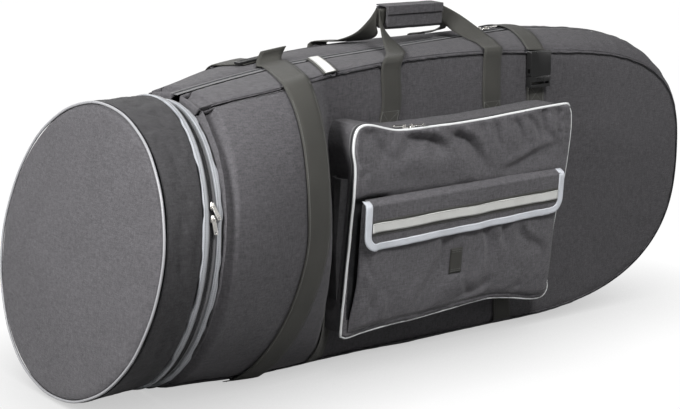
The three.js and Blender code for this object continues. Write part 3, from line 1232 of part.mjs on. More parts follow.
function shoulderStrap(side) {
  const rows = steps(10).map((share) => {
    const at = shoulderCentre(share, side);
    const ahead = shoulderCentre(Math.min(1, share + 0.02), side);
    const behind = shoulderCentre(Math.max(0, share - 0.02), side);
    const run = V(ahead.x - behind.x, 0, ahead.z - behind.z).normalize();
    const across = V(-run.z, 0, run.x);
    const half = SHOULDER_WIDTH / 2 * lerp(0.7, 1, Math.sqrt(Math.sin(Math.PI * lerp(0.1, 0.9, share))));
    return { at, across, half };
  });
  const acrossShares = [-1, -0.8, 0, 0.8, 1];
  const grid = (extra) => rows.map(({ at, across, half }) => acrossShares.map((share) => {
    const round = extra === 0 ? 0 : extra * (Math.abs(share) === 1 ? 0.5 : 1);
    const base = LIFT + WEB + 2 * GAP;
    return at.clone().addScaledVector(across, half * share).add(V(0, base + round, 0));
  }));
  return slab(grid(SHOULDER_THICK), grid(0));
}

function lowerWebbing(side) {
  const from = shoulderCentre(1, side);
  const zEnd = SHOULDER_Z + side * LOWER_SPREAD;
  const frames = spread(0, 1, 4).map((share) => {
    const x = lerp(from.x + 2 * GAP, LOWER_TO_X, share);
    const z = lerp(from.z, zEnd, share);
    const run = V(LOWER_TO_X - from.x, 0, zEnd - from.z).normalize();
    return { at: V(x, bodyDepthAt(x, z), z), across: V(-run.z, 0, run.x) };
  });
  const grid = (extra) => frames.map(({ at, across }) => [-1, 1].map((share) => {
    return at.clone().addScaledVector(across, LOWER_WEB / 2 * share).add(V(0, LIFT + extra, 0));
  }));
  return slab(grid(WEB), grid(0));
}

[['upper', 1], ['lower', -1]].forEach(([name, side]) => {
  add(bag, `shoulder_strap_${name}`, shoulderStrap(side), NYLON_DARK);
  add(bag, `shoulder_webbing_${name}`, lowerWebbing(side), WEBBING);
  const from = shoulderCentre(1, side);
  const run = V(LOWER_TO_X - from.x, 0, side * (LOWER_SPREAD) + SHOULDER_Z - from.z).normalize();
  const across = V(-run.z, 0, run.x);
  const at = from.clone().addScaledVector(run, SHOULDER_LOCK_OFFSET).add(V(0, LIFT + WEB + 2 * GAP, 0));
  const lock = groupAt(bag, at, [run.clone().cross(V(0, 1, 0)), run, V(0, 1, 0)]);
  add(lock, `shoulder_lock_${name}`, lockGeometry(LOWER_WEB), PLASTIC);
});

export default bag;
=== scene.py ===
import math

import bmesh
import bpy
import numpy as np
from bpy.props import (BoolProperty, FloatProperty, FloatVectorProperty, IntProperty, PointerProperty)
from mathutils import Matrix, Vector, kdtree, noise
from mathutils.bvhtree import BVHTree
from mathutils.geometry import delaunay_2d_cdt


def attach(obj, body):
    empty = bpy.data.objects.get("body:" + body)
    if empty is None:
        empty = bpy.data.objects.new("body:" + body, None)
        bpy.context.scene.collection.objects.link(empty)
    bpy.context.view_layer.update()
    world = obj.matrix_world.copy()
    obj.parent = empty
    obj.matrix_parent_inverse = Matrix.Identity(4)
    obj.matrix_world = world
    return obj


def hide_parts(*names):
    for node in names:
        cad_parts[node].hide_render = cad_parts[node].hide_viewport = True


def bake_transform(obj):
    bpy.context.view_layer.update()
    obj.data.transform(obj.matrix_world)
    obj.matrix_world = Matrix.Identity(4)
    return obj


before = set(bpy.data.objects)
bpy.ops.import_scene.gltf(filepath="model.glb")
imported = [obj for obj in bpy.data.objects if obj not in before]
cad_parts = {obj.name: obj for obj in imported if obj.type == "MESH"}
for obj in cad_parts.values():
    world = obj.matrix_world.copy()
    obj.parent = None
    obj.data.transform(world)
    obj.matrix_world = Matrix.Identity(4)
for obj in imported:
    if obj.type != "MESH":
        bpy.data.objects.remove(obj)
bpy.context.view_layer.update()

bl_info = {
    "name": "Tuba gig bag",
    "version": (1, 0, 0),
    "blender": (4, 5, 0),
    "location": "3D View > Sidebar > Gig bag",
    "description": "Dresses a padded tuba bag: cloth, webbing, zips, piping, pockets, straps and buckle",
    "category": "Object",
}

MM = 0.001
ORIGIN_X = 676.5 * MM       # the bag's own x is counted from the bell cover, the frame's from mid-body
SHELL = "shell"
BELL_COVER = "bell_cover"
POCKET_BODY = "pocket_front"
FLAP_BODY = "pouch_flap"
UV_NAME = "cloth_uv"
SEAM_STEP = 3 * MM          # spacing of the points that stand for a seam
FLOOR_GAP = 0.1 * MM
SAME_POINT = 2e-6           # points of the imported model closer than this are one


# Sizes and colours that a user would change

def length(name, description, default, low=0.0):
    return FloatProperty(name=name, description=description, default=default, min=low, unit="LENGTH",
                         precision=5)


def colour(name, description, red, green, blue):
    return FloatVectorProperty(name=name, description=description, subtype="COLOR", size=3, min=0, max=1,
                               default=(red, green, blue))


def bearing(name, description, degrees):
    return FloatProperty(name=name, description=description, default=math.radians(degrees), subtype="ANGLE")


def power(name, description, watts):
    return FloatProperty(name=name, description=description, default=watts, min=0, unit="POWER")


class PaddingSizes(bpy.types.PropertyGroup):
    edge: length("Edge", "Radius of a padded panel's sewn edge", 3.4 * MM)
    roll: length("Roll", "How far the foam falls away towards a seam", 6.5 * MM)
    roll_width: length("Roll width", "Width of the fall towards a seam", 24 * MM)
    neck_width: length("Neck groove width", "Width of the groove behind the bell zip", 22 * MM)
    neck_groove: length("Neck groove", "Depth of the groove behind the bell zip", 12 * MM)
    ripple: length("Ripple", "Height of the slow waves in the foam", 2.4 * MM)
    pucker: length("Pucker", "Height of the small gathers beside a seam", 0.75 * MM)
    levels: IntProperty(name="Levels", description="Subdivision of the padded panels", default=3,
                        min=1, max=4)


class WebbingSizes(bpy.types.PropertyGroup):
    thickness: length("Thickness", "Thickness of the webbing", 1.9 * MM)
    rib: length("Rib", "Distance between the ribs of the webbing", 1.7 * MM)


class ZipSizes(bpy.types.PropertyGroup):
    pitch: length("Pitch", "Distance between the turns of the coil", 2.4 * MM)
    reach: length("Reach", "Length of one turn across the chain", 4.6 * MM)
    radius: length("Radius", "Radius of the coil's thread", 0.75 * MM)


class StitchSizes(bpy.types.PropertyGroup):
    pitch: length("Pitch", "Distance between stitches", 3.6 * MM)
    reach: length("Reach", "Length of one stitch", 2.7 * MM)
    radius: length("Radius", "Radius of the thread", 0.36 * MM)


class PocketSizes(bpy.types.PropertyGroup):
    cord: length("Cord", "Radius of the white piping", 2.4 * MM)
    cloth: length("Cloth", "Thickness of the pocket's cloth", 2.2 * MM)
    folds: FloatProperty(name="Folds", description="Scale of the folds in the pocket's cloth", default=1.0)


class ClothColours(bpy.types.PropertyGroup):
    nylon: colour("Nylon", "Charcoal outer cloth", 0.073, 0.07, 0.075)
    pocket_nylon: colour("Pocket nylon", "Paler cloth of the front pocket and its flap", 0.105, 0.101, 0.108)
    nylon_dark: colour("Dark nylon", "Cloth of the bell drum, grip and straps", 0.036, 0.035, 0.037)
    # The lining colour also lies as painted shade on the hollow beside the pouch's left edge.
    lining: colour("Lining", "Inside of the bag", 0.012, 0.012, 0.014)
    webbing: colour("Webbing", "Straps and handles", 0.042, 0.041, 0.036)
    binding: colour("Binding", "Grey tape round the bell zip", 0.31, 0.32, 0.34)
    pale_binding: colour("Pale binding", "Tape round the pouch flap", 0.58, 0.6, 0.64)
    piping: colour("Piping", "Vinyl piping of the pocket", 0.72, 0.73, 0.73)
    rim: colour("Rim piping", "Thin piping of the bell disc", 0.26, 0.26, 0.27)
    zip_tape: colour("Zip tape", "Zip tapes and coils", 0.016, 0.016, 0.018)
    reflective: colour("Reflective", "Reflective strips", 0.6, 0.6, 0.58)
    nickel: colour("Nickel", "Sliders and pulls", 0.86, 0.84, 0.8)
    plastic: colour("Plastic", "Buckle and strap locks", 0.012, 0.012, 0.012)
    thread: colour("Thread", "Sewing thread", 0.13, 0.13, 0.125)


class StageSizes(bpy.types.PropertyGroup):
    lens: FloatProperty(name="Lens", description="Focal length on a 36 mm sensor", default=86.75)
    azimuth: bearing("Azimuth", "Camera's way round the bag", -34.75)
    elevation: bearing("Elevation", "Camera's height angle", 13.7)
    roll: bearing("Roll", "Camera's tilt", 0.86)
    distance: length("Distance", "From the camera to the point it looks at", 2.8447)
    key: power("Key", "Power of the large lamp on the left", 60.0)
    top: power("Top", "Power of the lamp above the front", 76.0)
    back: power("Back", "Power of the lamp behind", 30.0)
    side: power("Side", "Power of the lamp at the right", 9.0)
    sky: FloatProperty(name="Sky", description="Strength of the even light", default=0.085)


class GigBagSettings(bpy.types.PropertyGroup):
    padding: PointerProperty(type=PaddingSizes)
    webbing: PointerProperty(type=WebbingSizes)
    zips: PointerProperty(type=ZipSizes)
    stitches: PointerProperty(type=StitchSizes)
    pocket: PointerProperty(type=PocketSizes)
    colours: PointerProperty(type=ClothColours)
    stage: PointerProperty(type=StageSizes)
    simulate: BoolProperty(name="Simulate", description="Let the pocket's cloth settle", default=True)


def settings():
    return bpy.context.scene.gig_bag


# Small helpers

def smooth(value, low, high):
    share = np.clip((value - low) / (high - low), 0, 1)
    return share * share * (3 - 2 * share)


def within(value, low, full, full_to, high):
    """1 between full and full_to, falling smoothly to 0 at low and at high."""
    return smooth(value, low, full) * smooth(-value, -high, -full_to)


def mix(a, b, share):
    return a + (b - a) * share


def run_along(points):
    """Distance along a line of points, counted from its first."""
    return np.concatenate([[0], np.cumsum(np.linalg.norm(np.diff(points, axis=0), axis=1))])


def spread(goal, run, values):
    """A line's values at the distances in goal, where run is the distance along it."""
    return np.stack([np.interp(goal, run, values[:, k]) for k in range(values.shape[1])], axis=1)


def search_tree(points):
    tree = kdtree.KDTree(len(points))
    for i, point in enumerate(points):
        tree.insert(point, i)
    tree.balance()
    return tree


def distances(tree, points):
    """How far each point is from the nearest one in the tree."""
    return np.array([tree.find(point)[2] for point in points])


def bag_point(x, y, z):
    """A point given in the bag's own millimetres, x counted from the bell cover."""
    return Vector((x * MM - ORIGIN_X, y * MM, z * MM))


def wave(points, scale, seed=0.0, stretch=(1, 1, 1)):
    """Smooth noise from -1 to 1 at each point; scale is the size of one wave."""
    shift = Vector((seed, seed * 0.37, -seed * 0.71))
    return np.array([noise.noise(Vector((p[0] / (scale * stretch[0]), p[1] / (scale * stretch[1]),
                                         p[2] / (scale * stretch[2]))) + shift) for p in points])


def basis(x_axis, y_axis, z_axis, at):
    matrix = Matrix((x_axis, y_axis, z_axis)).transposed().to_4x4()
    matrix.translation = at
    return matrix


# Nodes of materials

def add_node(tree, kind, inputs=None, **settings_of_node):
    """A shader node with its settings and inputs; an input is a value or another node's output."""
    new = tree.nodes.new(kind)
    for key, value in settings_of_node.items():
        setattr(new, key, value)
    for key, value in (inputs or {}).items():
        if isinstance(value, bpy.types.NodeSocket):
            tree.links.new(value, new.inputs[key])
        else:
            new.inputs[key].default_value = value
    return new


def maths(tree, operation, a, b=0.0, c=0.0):
    return add_node(tree, "ShaderNodeMath", {0: a, 1: b, 2: c}, operation=operation).outputs[0]


def vector_maths(tree, operation, a, b=(0, 0, 0)):
    new = add_node(tree, "ShaderNodeVectorMath", {0: a, 1: b}, operation=operation)
    return new.outputs["Value" if operation == "DOT_PRODUCT" else "Vector"]


def plain_weave():
    """Height of a plain weave on any surface: sines of the object's coordinates, mixed by the normal."""
    name = "plain_weave"
    if name in bpy.data.node_groups:
        return bpy.data.node_groups[name]
    tree = bpy.data.node_groups.new(name, "ShaderNodeTree")
    tree.interface.new_socket("Pitch", in_out="INPUT", socket_type="NodeSocketFloat")
    tree.interface.new_socket("Height", in_out="OUTPUT", socket_type="NodeSocketFloat")
    start = tree.nodes.new("NodeGroupInput")
    place = add_node(tree, "ShaderNodeTexCoord")
    turns = maths(tree, "DIVIDE", 2 * math.pi, start.outputs["Pitch"])
    scaled = add_node(tree, "ShaderNodeVectorMath", {0: place.outputs["Object"], "Scale": turns},
                      operation="SCALE").outputs["Vector"]
    sines = add_node(tree, "ShaderNodeSeparateXYZ", {0: vector_maths(tree, "SINE", scaled)}).outputs
    first = add_node(tree, "ShaderNodeCombineXYZ", {0: sines[1], 1: sines[2], 2: sines[0]}).outputs[0]
    second = add_node(tree, "ShaderNodeCombineXYZ", {0: sines[2], 1: sines[0], 2: sines[1]}).outputs[0]
    normal = place.outputs["Normal"]
    squared = vector_maths(tree, "MULTIPLY", normal, normal)
    height = vector_maths(tree, "DOT_PRODUCT", vector_maths(tree, "MULTIPLY", first, second), squared)
    end = tree.nodes.new("NodeGroupOutput")
    tree.links.new(height, end.inputs["Height"])
    return tree


def made_once(make):
    """Gives the material that already has the name, and makes it only where there is none."""
    def found(name, *values, **more):
        return bpy.data.materials.get(name) or make(name, *values, **more)
    return found


def set_sockets(shader, values):
    for socket, value in values.items():
        shader.inputs[socket].default_value = value


def blank_material(name):
    material = bpy.data.materials.new(name)
    material.use_nodes = True
    tree = material.node_tree
    return material, tree, tree.nodes["Principled BSDF"]


def noise_value(tree, scale, detail=3.0, vector=None):
    inputs = {"Scale": scale, "Detail": detail}
    if vector is None:
        vector = add_node(tree, "ShaderNodeTexCoord").outputs["Object"]
    inputs["Vector"] = vector
    return add_node(tree, "ShaderNodeTexNoise", inputs).outputs["Fac"]


def toned(tree, shader, base, factor, low, high):
    """Base colour that varies from low to high times the given colour as factor runs from 0 to 1."""
    darker = [channel * low for channel in base] + [1]
    lighter = [min(1, channel * high) for channel in base] + [1]
    blend = add_node(tree, "ShaderNodeMix", {0: factor, 6: darker, 7: lighter}, data_type="RGBA")
    tree.links.new(blend.outputs[2], shader.inputs["Base Color"])


def bumps(tree, shader, *heights):
    """Chain of bumps: each is (height socket, strength, distance in metres)."""
    normal = None
    for height, strength, distance in heights:
        inputs = {"Height": height, "Strength": strength, "Distance": distance}
        if normal is not None:
            inputs["Normal"] = normal
        normal = add_node(tree, "ShaderNodeBump", inputs).outputs["Normal"]
    tree.links.new(normal, shader.inputs["Normal"])


@made_once
def cloth_material(name, base, pitch=0.95 * MM, depth=0.16 * MM, roughness=0.72, sheen=0.08, heather=0.4,
                   patchy=0.25):
    """Woven nylon: plain weave, uneven threads, faint rubbed patches and a soft sheen, with painted shade
    between the weave's threads.
    """
    material, tree, shader = blank_material(name)
    weave = add_node(tree, "ShaderNodeGroup", {}, node_tree=plain_weave())
    weave.inputs["Pitch"].default_value = pitch
    height = weave.outputs["Height"]
    place = add_node(tree, "ShaderNodeTexCoord").outputs["Object"]
    warp = noise_value(tree, 460.0, 2.0, vector_maths(tree, "MULTIPLY", place, (1.0, 1.0, 0.22)))
    weft = noise_value(tree, 460.0, 2.0, vector_maths(tree, "MULTIPLY", place, (0.22, 0.22, 1.0)))
    threads = maths(tree, "MULTIPLY_ADD", maths(tree, "ADD", warp, weft), 2.0, -1.5)
    patches = noise_value(tree, 9.0, 4.0)
    # Painted shade: the weave's height darkens the colour in the hollows between threads; the uneven threads
    # and rubbed patches are the cloth's own tone.
    tone = maths(tree, "MULTIPLY_ADD", height, 0.22, 0.5 - heather * 0.5 - patchy * 0.5)
    tone = maths(tree, "MULTIPLY_ADD", threads, heather, tone)
    tone = maths(tree, "MULTIPLY_ADD", patches, patchy, tone)
    toned(tree, shader, base, tone, 0.45, 1.6)
    bumps(tree, shader, (patches, 0.25, 1.2 * MM), (threads, 0.5, 0.3 * MM), (height, 0.85, depth))
    rough = maths(tree, "MULTIPLY_ADD", patches, 0.16, roughness - 0.08)
    tree.links.new(rough, shader.inputs["Roughness"])
    set_sockets(shader, {"Sheen Weight": sheen, "Sheen Roughness": 0.5, "Specular IOR Level": 0.18})
    return material


@made_once
def webbing_material(name, base, rib, cross=1.15 * MM, roughness=0.6, depth=0.35 * MM, sheen=0.06):
    """Ribbed tape: ribs run along the piece's own cloth coordinates, crossed by finer threads, with painted
    shade between the ribs.
    """
    material, tree, shader = blank_material(name)
    uv = add_node(tree, "ShaderNodeUVMap", uv_map=UV_NAME).outputs[0]
    across, along = add_node(tree, "ShaderNodeSeparateXYZ", {0: uv}).outputs[:2]
    ribs = maths(tree, "ABSOLUTE", maths(tree, "SINE", maths(tree, "MULTIPLY", across, math.pi / rib)))
    column = maths(tree, "FLOOR", maths(tree, "DIVIDE", across, rib))
    phase = maths(tree, "MULTIPLY", column, math.pi * 0.5)
    running = maths(tree, "MULTIPLY", along, 2 * math.pi / cross)
    threads = maths(tree, "SINE", maths(tree, "ADD", running, phase))
    height = maths(tree, "ADD", ribs, maths(tree, "MULTIPLY", threads, 0.3))
    wear = noise_value(tree, 24.0, 4.0)
    # Painted shade: the colour is darker between the ribs; the wear noise is the tape's own tone.
    tone = maths(tree, "ADD", maths(tree, "MULTIPLY", ribs, 0.35), maths(tree, "MULTIPLY", wear, 0.65))
    toned(tree, shader, base, tone, 0.62, 1.4)
    bumps(tree, shader, (wear, 0.2, 0.8 * MM), (height, 0.8, depth))
    set_sockets(shader, {"Roughness": roughness, "Sheen Weight": sheen, "Specular IOR Level": 0.28})
    return material


@made_once
def moulded_material(name, base, roughness, metallic=0.0, grain=900.0, depth=0.03 * MM, coat=0.0, wear=0.3):
    """Moulded, plated or vinyl surface with fine grain and handled patches."""
    material, tree, shader = blank_material(name)
    fine = noise_value(tree, grain, 2.0)
    handled = noise_value(tree, 60.0, 4.0)
    toned(tree, shader, base, handled, 1 - wear * 0.5, 1 + wear * 0.5)
    bumps(tree, shader, (fine, 0.4, depth))
    rough = maths(tree, "MULTIPLY_ADD", handled, wear * 0.5, roughness - wear * 0.25)
    tree.links.new(rough, shader.inputs["Roughness"])
    set_sockets(shader, {"Metallic": metallic, "Coat Weight": coat})
    return material


@made_once
def reflective_material(name, base):
    """Reflective strip: glass beads in faint crossing lines, a little creased, with painted shade along the
    creases.
    """
    material, tree, shader = blank_material(name)
    beads = add_node(tree, "ShaderNodeTexVoronoi",
                     {"Vector": add_node(tree, "ShaderNodeTexCoord").outputs["Object"], "Scale": 1400.0})
    creases = noise_value(tree, 45.0, 3.0)
    # Painted shade: the crease noise that bumps the strip also darkens and lightens its colour; the beads are
    # its own pattern.
    tone = maths(tree, "ADD", maths(tree, "MULTIPLY", beads.outputs["Distance"], 0.4),
                 maths(tree, "MULTIPLY", creases, 0.6))
    toned(tree, shader, base, tone, 0.84, 1.2)
    bumps(tree, shader, (creases, 0.3, 0.6 * MM), (beads.outputs["Distance"], 0.4, 0.06 * MM))
    set_sockets(shader, {"Roughness": 0.6, "Specular IOR Level": 0.2})
    return material


def nylon():
    return cloth_material("charcoal_nylon", settings().colours.nylon)


def pocket_nylon():
    return cloth_material("pocket_nylon", settings().colours.pocket_nylon, roughness=0.6, sheen=0.1)


def dark_nylon():
    return cloth_material("dark_nylon", settings().colours.nylon_dark, sheen=0.05)


def lining():
    return cloth_material("brushed_lining", settings().colours.lining, pitch=2.2 * MM, roughness=0.9,
                          sheen=0.12)


def strap_web():
    return webbing_material("strap_webbing", settings().colours.webbing, settings().webbing.rib)


def grey_tape():
    return webbing_material("grey_binding_tape", settings().colours.binding, 0.9 * MM, depth=0.14 * MM)


def pale_tape():
    return webbing_material("pale_binding_tape", settings().colours.pale_binding, 0.9 * MM, depth=0.12 * MM)


def zip_cloth():
    return webbing_material("zip_tape", settings().colours.zip_tape, 0.8 * MM, depth=0.12 * MM, roughness=0.7)


def coil_nylon():
    return moulded_material("zip_coil", settings().colours.zip_tape, 0.38)


def white_vinyl():
    return moulded_material("white_piping", settings().colours.piping, 0.34, grain=400.0, coat=0.2, wear=0.12)


def rim_vinyl():
    return moulded_material("rim_piping", settings().colours.rim, 0.4, grain=400.0, wear=0.2)


def silver_strip():
    return reflective_material("silver_strip", settings().colours.reflective)


def nickel():
    return moulded_material("nickel_plate", settings().colours.nickel, 0.26, metallic=1.0, depth=0.015 * MM,
                            wear=0.2)


def black_plastic():
    return moulded_material("black_acetal", settings().colours.plastic, 0.3, grain=1500.0, depth=0.02 * MM)


def sewing_thread():
    return moulded_material("sewing_thread", settings().colours.thread, 0.6, grain=2500.0)


def pale_thread():
    return moulded_material("pale_thread", settings().colours.pale_binding, 0.6, grain=2500.0)


# Meshes

def mesh_of(name, points, faces):
    mesh = bpy.data.meshes.new(name)
    mesh.from_pydata([tuple(p) for p in points], [], faces)
    return mesh


def shade_smooth(mesh):
    mesh.polygons.foreach_set("use_smooth", np.ones(len(mesh.polygons), bool))


def faced_outwards(mesh, merge=0.0):
    """Turns the faces outwards, after points closer than merge are made one."""
    bm = bmesh.new()
    bm.from_mesh(mesh)
    if merge:
        bmesh.ops.remove_doubles(bm, verts=bm.verts, dist=merge)
    bmesh.ops.recalc_face_normals(bm, faces=bm.faces)
    bm.to_mesh(mesh)
    bm.free()
    return mesh


def new_object(name, mesh, *materials):
    piece = bpy.data.objects.new(name, mesh)
    bpy.context.scene.collection.objects.link(piece)
    mesh.materials.clear()
    for material in materials:
        mesh.materials.append(material)
    shade_smooth(mesh)
    return piece


def fit(piece, body, node=(), slot=None):
    """Hangs a finished piece on its body, and hides the nodes it stands for."""
    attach(piece, body)
    nodes = [node] if isinstance(node, str) else list(node)
    if nodes:
        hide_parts(*nodes)
    return piece


def coordinates(mesh):
    co = np.zeros(len(mesh.vertices) * 3, np.float32)
    mesh.vertices.foreach_get("co", co)
    return co.reshape(-1, 3).astype(float)


def normals_of(mesh):
    values = np.zeros(len(mesh.vertices) * 3, np.float32)
    mesh.vertex_normals.foreach_get("vector", values)
    return values.reshape(-1, 3).astype(float)


def set_coordinates(mesh, co):
    mesh.vertices.foreach_set("co", co.astype(np.float32).ravel())
    mesh.update()


def above_floor(piece):
    """Keeps a piece that rests on the floor just clear of it."""
    co = coordinates(piece.data)
    co[:, 2] = np.maximum(co[:, 2], FLOOR_GAP)
    set_coordinates(piece.data, co)


def applied(piece):
    """The piece's mesh with its modifiers applied, as plain geometry."""
    graph = bpy.context.evaluated_depsgraph_get()
    graph.update()
    result = bpy.data.meshes.new_from_object(piece.evaluated_get(graph))
    piece.modifiers.clear()
    old = piece.data
    piece.data = result
    bpy.data.meshes.remove(old)
    return piece


def node_mesh(node, edge=0.0, segments=2, angle=42.0):
    """A merged copy of a node with quads where it can have them, its sharp edges rounded by edge."""
    bm = bmesh.new()
    bm.from_mesh(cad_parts[node].data)
    bmesh.ops.remove_doubles(bm, verts=bm.verts, dist=SAME_POINT)
    bmesh.ops.join_triangles(bm, faces=bm.faces, angle_face_threshold=math.radians(34),
                             angle_shape_threshold=math.radians(178))
    sharp = [e for e in bm.edges if len(e.link_faces) == 2 and e.calc_face_angle(0) > math.radians(angle)]
    seam = []
    for e in sharp:
        steps = max(1, int(e.calc_length() / SEAM_STEP))
        seam += [e.verts[0].co.lerp(e.verts[1].co, k / steps) for k in range(steps + 1)]
    if edge:
        bmesh.ops.bevel(bm, geom=sharp, offset=edge, offset_type="OFFSET", segments=segments, profile=0.5,
                        affect="EDGES", clamp_overlap=True)
    mesh = bpy.data.meshes.new(node)
    bm.to_mesh(mesh)
    bm.free()
    return mesh, seam


def soft_piece(name, node, materials, edge, levels, shape=None, softening=0):
    """A rounded, subdivided copy of a soft node.

    shape(points, normals, distance to the nearest seam) gives how far each point moves out.
    """
    mesh, seam = node_mesh(node, edge)
    piece = new_object(name, mesh, *materials)
    modifier = piece.modifiers.new("rounding", "SUBSURF")
    modifier.levels = modifier.render_levels = levels
    if softening:
        smoothing = piece.modifiers.new("softening", "SMOOTH")
        smoothing.iterations = softening
    applied(piece)
    if shape:
        co = coordinates(piece.data)
        relief = shape(co, normals_of(piece.data), distances(search_tree(seam), co))
        set_coordinates(piece.data, co + normals_of(piece.data) * relief[:, None])
    shade_smooth(piece.data)
    return piece


def closed_strip(name, top, under, material):
    """A closed band between a top and an under grid of points, rows along it and columns across it."""
    rows, columns = len(top), len(top[0])
    count, last = rows * columns, columns - 1
    faces = []
    for i in range(rows - 1):
        a, b = i * columns, (i + 1) * columns
        for j in range(last):
            faces.append((a + j, a + j + 1, b + j + 1, b + j))
            faces.append((count + a + j, count + b + j, count + b + j + 1, count + a + j + 1))
        faces.append((a, b, count + b, count + a))
        faces.append((b + last, a + last, count + a + last, count + b + last))
    for j in range(last):
        end = count - columns + j
        faces.append((j + 1, j, count + j, count + j + 1))
        faces.append((end, end + 1, count + end + 1, count + end))
    mesh = mesh_of(name, [p for grid in (top, under) for row in grid for p in row], faces)
    lay_out_cloth(mesh, top)
    return new_object(name, faced_outwards(mesh), material)


def lay_out_cloth(mesh, top):
    """Cloth coordinates in metres: across the band in U, along it in V."""
    grid = np.array([[tuple(p) for p in row] for row in top])
    rows, columns = grid.shape[:2]
    across = np.linalg.norm(np.diff(grid, axis=1), axis=2)
    along = np.linalg.norm(np.diff(grid, axis=0), axis=2).mean(axis=1)
    u = np.concatenate([np.zeros((rows, 1)), np.cumsum(across, axis=1)], axis=1)
    u = u - u[:, -1:] / 2
    v = np.concatenate([[0], np.cumsum(along)])
    layer = mesh.uv_layers.new(name=UV_NAME)
    for loop in mesh.loops:
        row, column = divmod(loop.vertex_index % (rows * columns), columns)
        layer.data[loop.index].uv = (u[row, column], v[row])


def grid_normals(grid):
    g = np.array([[tuple(p) for p in row] for row in grid])
    run = np.gradient(g, axis=0)
    side = np.gradient(g, axis=1)
    normal = np.cross(run, side)
    length_of = np.linalg.norm(normal, axis=2, keepdims=True)
    return g, normal / np.maximum(length_of, 1e-12)


def tube(name, points, radius, material, outward, sides=10):
    """A round cord along a closed line of points."""
    p = np.array([tuple(q) for q in points])
    run = np.roll(p, -1, axis=0) - np.roll(p, 1, axis=0)
    run /= np.linalg.norm(run, axis=1, keepdims=True)
    side = np.cross(run, np.array(outward))
    side /= np.linalg.norm(side, axis=1, keepdims=True)
    lift = np.cross(side, run)
    verts, faces = [], []
    for i in range(len(p)):
        k = (i + 1) % len(p)
        for j in range(sides):
            n = (j + 1) % sides
            angle = 2 * math.pi * j / sides
            verts.append(p[i] + radius * (math.cos(angle) * side[i] + math.sin(angle) * lift[i]))
            faces.append((i * sides + j, i * sides + n, k * sides + n, k * sides + j))
    return new_object(name, faced_outwards(mesh_of(name, verts, faces)), material)


def curve_through(points, count, closed=False):
    """Evenly spread points on a smooth line through the given ones."""
    p = np.array([tuple(q) for q in points], float)
    if closed:
        p = np.vstack([p[-1:], p, p[:2]])
    else:
        p = np.vstack([2 * p[0] - p[1], p, 2 * p[-1] - p[-2]])
    fine = []
    for i in range(1, len(p) - 2):
        a, b, c, d = p[i - 1], p[i], p[i + 1], p[i + 2]
        for t in np.linspace(0, 1, 12, endpoint=False):
            fine.append(0.5 * (2 * b + (c - a) * t + (2 * a - 5 * b + 4 * c - d) * t * t
                               + (3 * b - 3 * c + d - a) * t ** 3))
    if closed:
        fine.append(fine[0])
    else:
        fine.append(p[-2])
    fine = np.array(fine)
    run = run_along(fine)
    return spread(np.linspace(0, run[-1], count, endpoint=not closed), run, fine)


# What repeats: stitches and zip coils, set along lines by one tree of geometry nodes

def sowing_tree():
    """Puts a template on each seed point, turned to the seed's own along and out directions."""
    name = "sown_copies"
    if name in bpy.data.node_groups:
        return bpy.data.node_groups[name]
    tree = bpy.data.node_groups.new(name, "GeometryNodeTree")
    for socket, kind in (("Seeds", "NodeSocketGeometry"), ("Template", "NodeSocketObject"),
                         ("Length", "NodeSocketFloat"), ("Radius", "NodeSocketFloat"),
                         ("Finish", "NodeSocketMaterial")):
        tree.interface.new_socket(socket, in_out="INPUT", socket_type=kind)
    tree.interface.new_socket("Copies", in_out="OUTPUT", socket_type="NodeSocketGeometry")
    start = tree.nodes.new("NodeGroupInput").outputs
    template = add_node(tree, "GeometryNodeObjectInfo", {"Object": start["Template"]}).outputs["Geometry"]

    def direction(attribute):
        new = add_node(tree, "GeometryNodeInputNamedAttribute", {"Name": attribute}, data_type="FLOAT_VECTOR")
        return new.outputs["Attribute"]

    turn = add_node(tree, "FunctionNodeAxesToRotation",
                    {"Primary Axis": direction("along"), "Secondary Axis": direction("out")},
                    primary_axis="X", secondary_axis="Z").outputs["Rotation"]
    size = add_node(tree, "ShaderNodeCombineXYZ",
                    {0: start["Length"], 1: start["Radius"], 2: start["Radius"]}).outputs[0]
    points = add_node(tree, "GeometryNodeMeshToPoints", {"Mesh": start["Seeds"]}).outputs["Points"]
    copies = add_node(tree, "GeometryNodeInstanceOnPoints",
                      {"Points": points, "Instance": template, "Rotation": turn, "Scale": size})
    real = add_node(tree, "GeometryNodeRealizeInstances", {"Geometry": copies.outputs["Instances"]})
    dressed = add_node(tree, "GeometryNodeSetMaterial",
                       {"Geometry": real.outputs["Geometry"], "Material": start["Finish"]})
    end = tree.nodes.new("NodeGroupOutput")
    tree.links.new(dressed.outputs["Geometry"], end.inputs["Copies"])
    return tree


def thread_template():
    """One turn of thread, one long and one thick: a six-sided bar with tapered ends."""
    name = "thread_turn"
    if name in bpy.data.objects:
        return bpy.data.objects[name]
    sections = ((-0.5, 0.35), (-0.36, 1.0), (0.36, 1.0), (0.5, 0.35))
    sides = 6
    verts = [(x, r * math.cos(math.tau * k / sides), r * math.sin(math.tau * k / sides))
             for x, r in sections for k in range(sides)]
    faces = [(i * sides + k, (i + 1) * sides + k, (i + 1) * sides + (k + 1) % sides,
              i * sides + (k + 1) % sides) for i in range(len(sections) - 1) for k in range(sides)]
    faces += [tuple(range(sides)), tuple(reversed(range((len(sections) - 1) * sides, len(sections) * sides)))]
    mesh = mesh_of(name, verts, [tuple(reversed(f)) for f in faces])
    template = bpy.data.objects.new(name, mesh)
    shade_smooth(mesh)
    return template


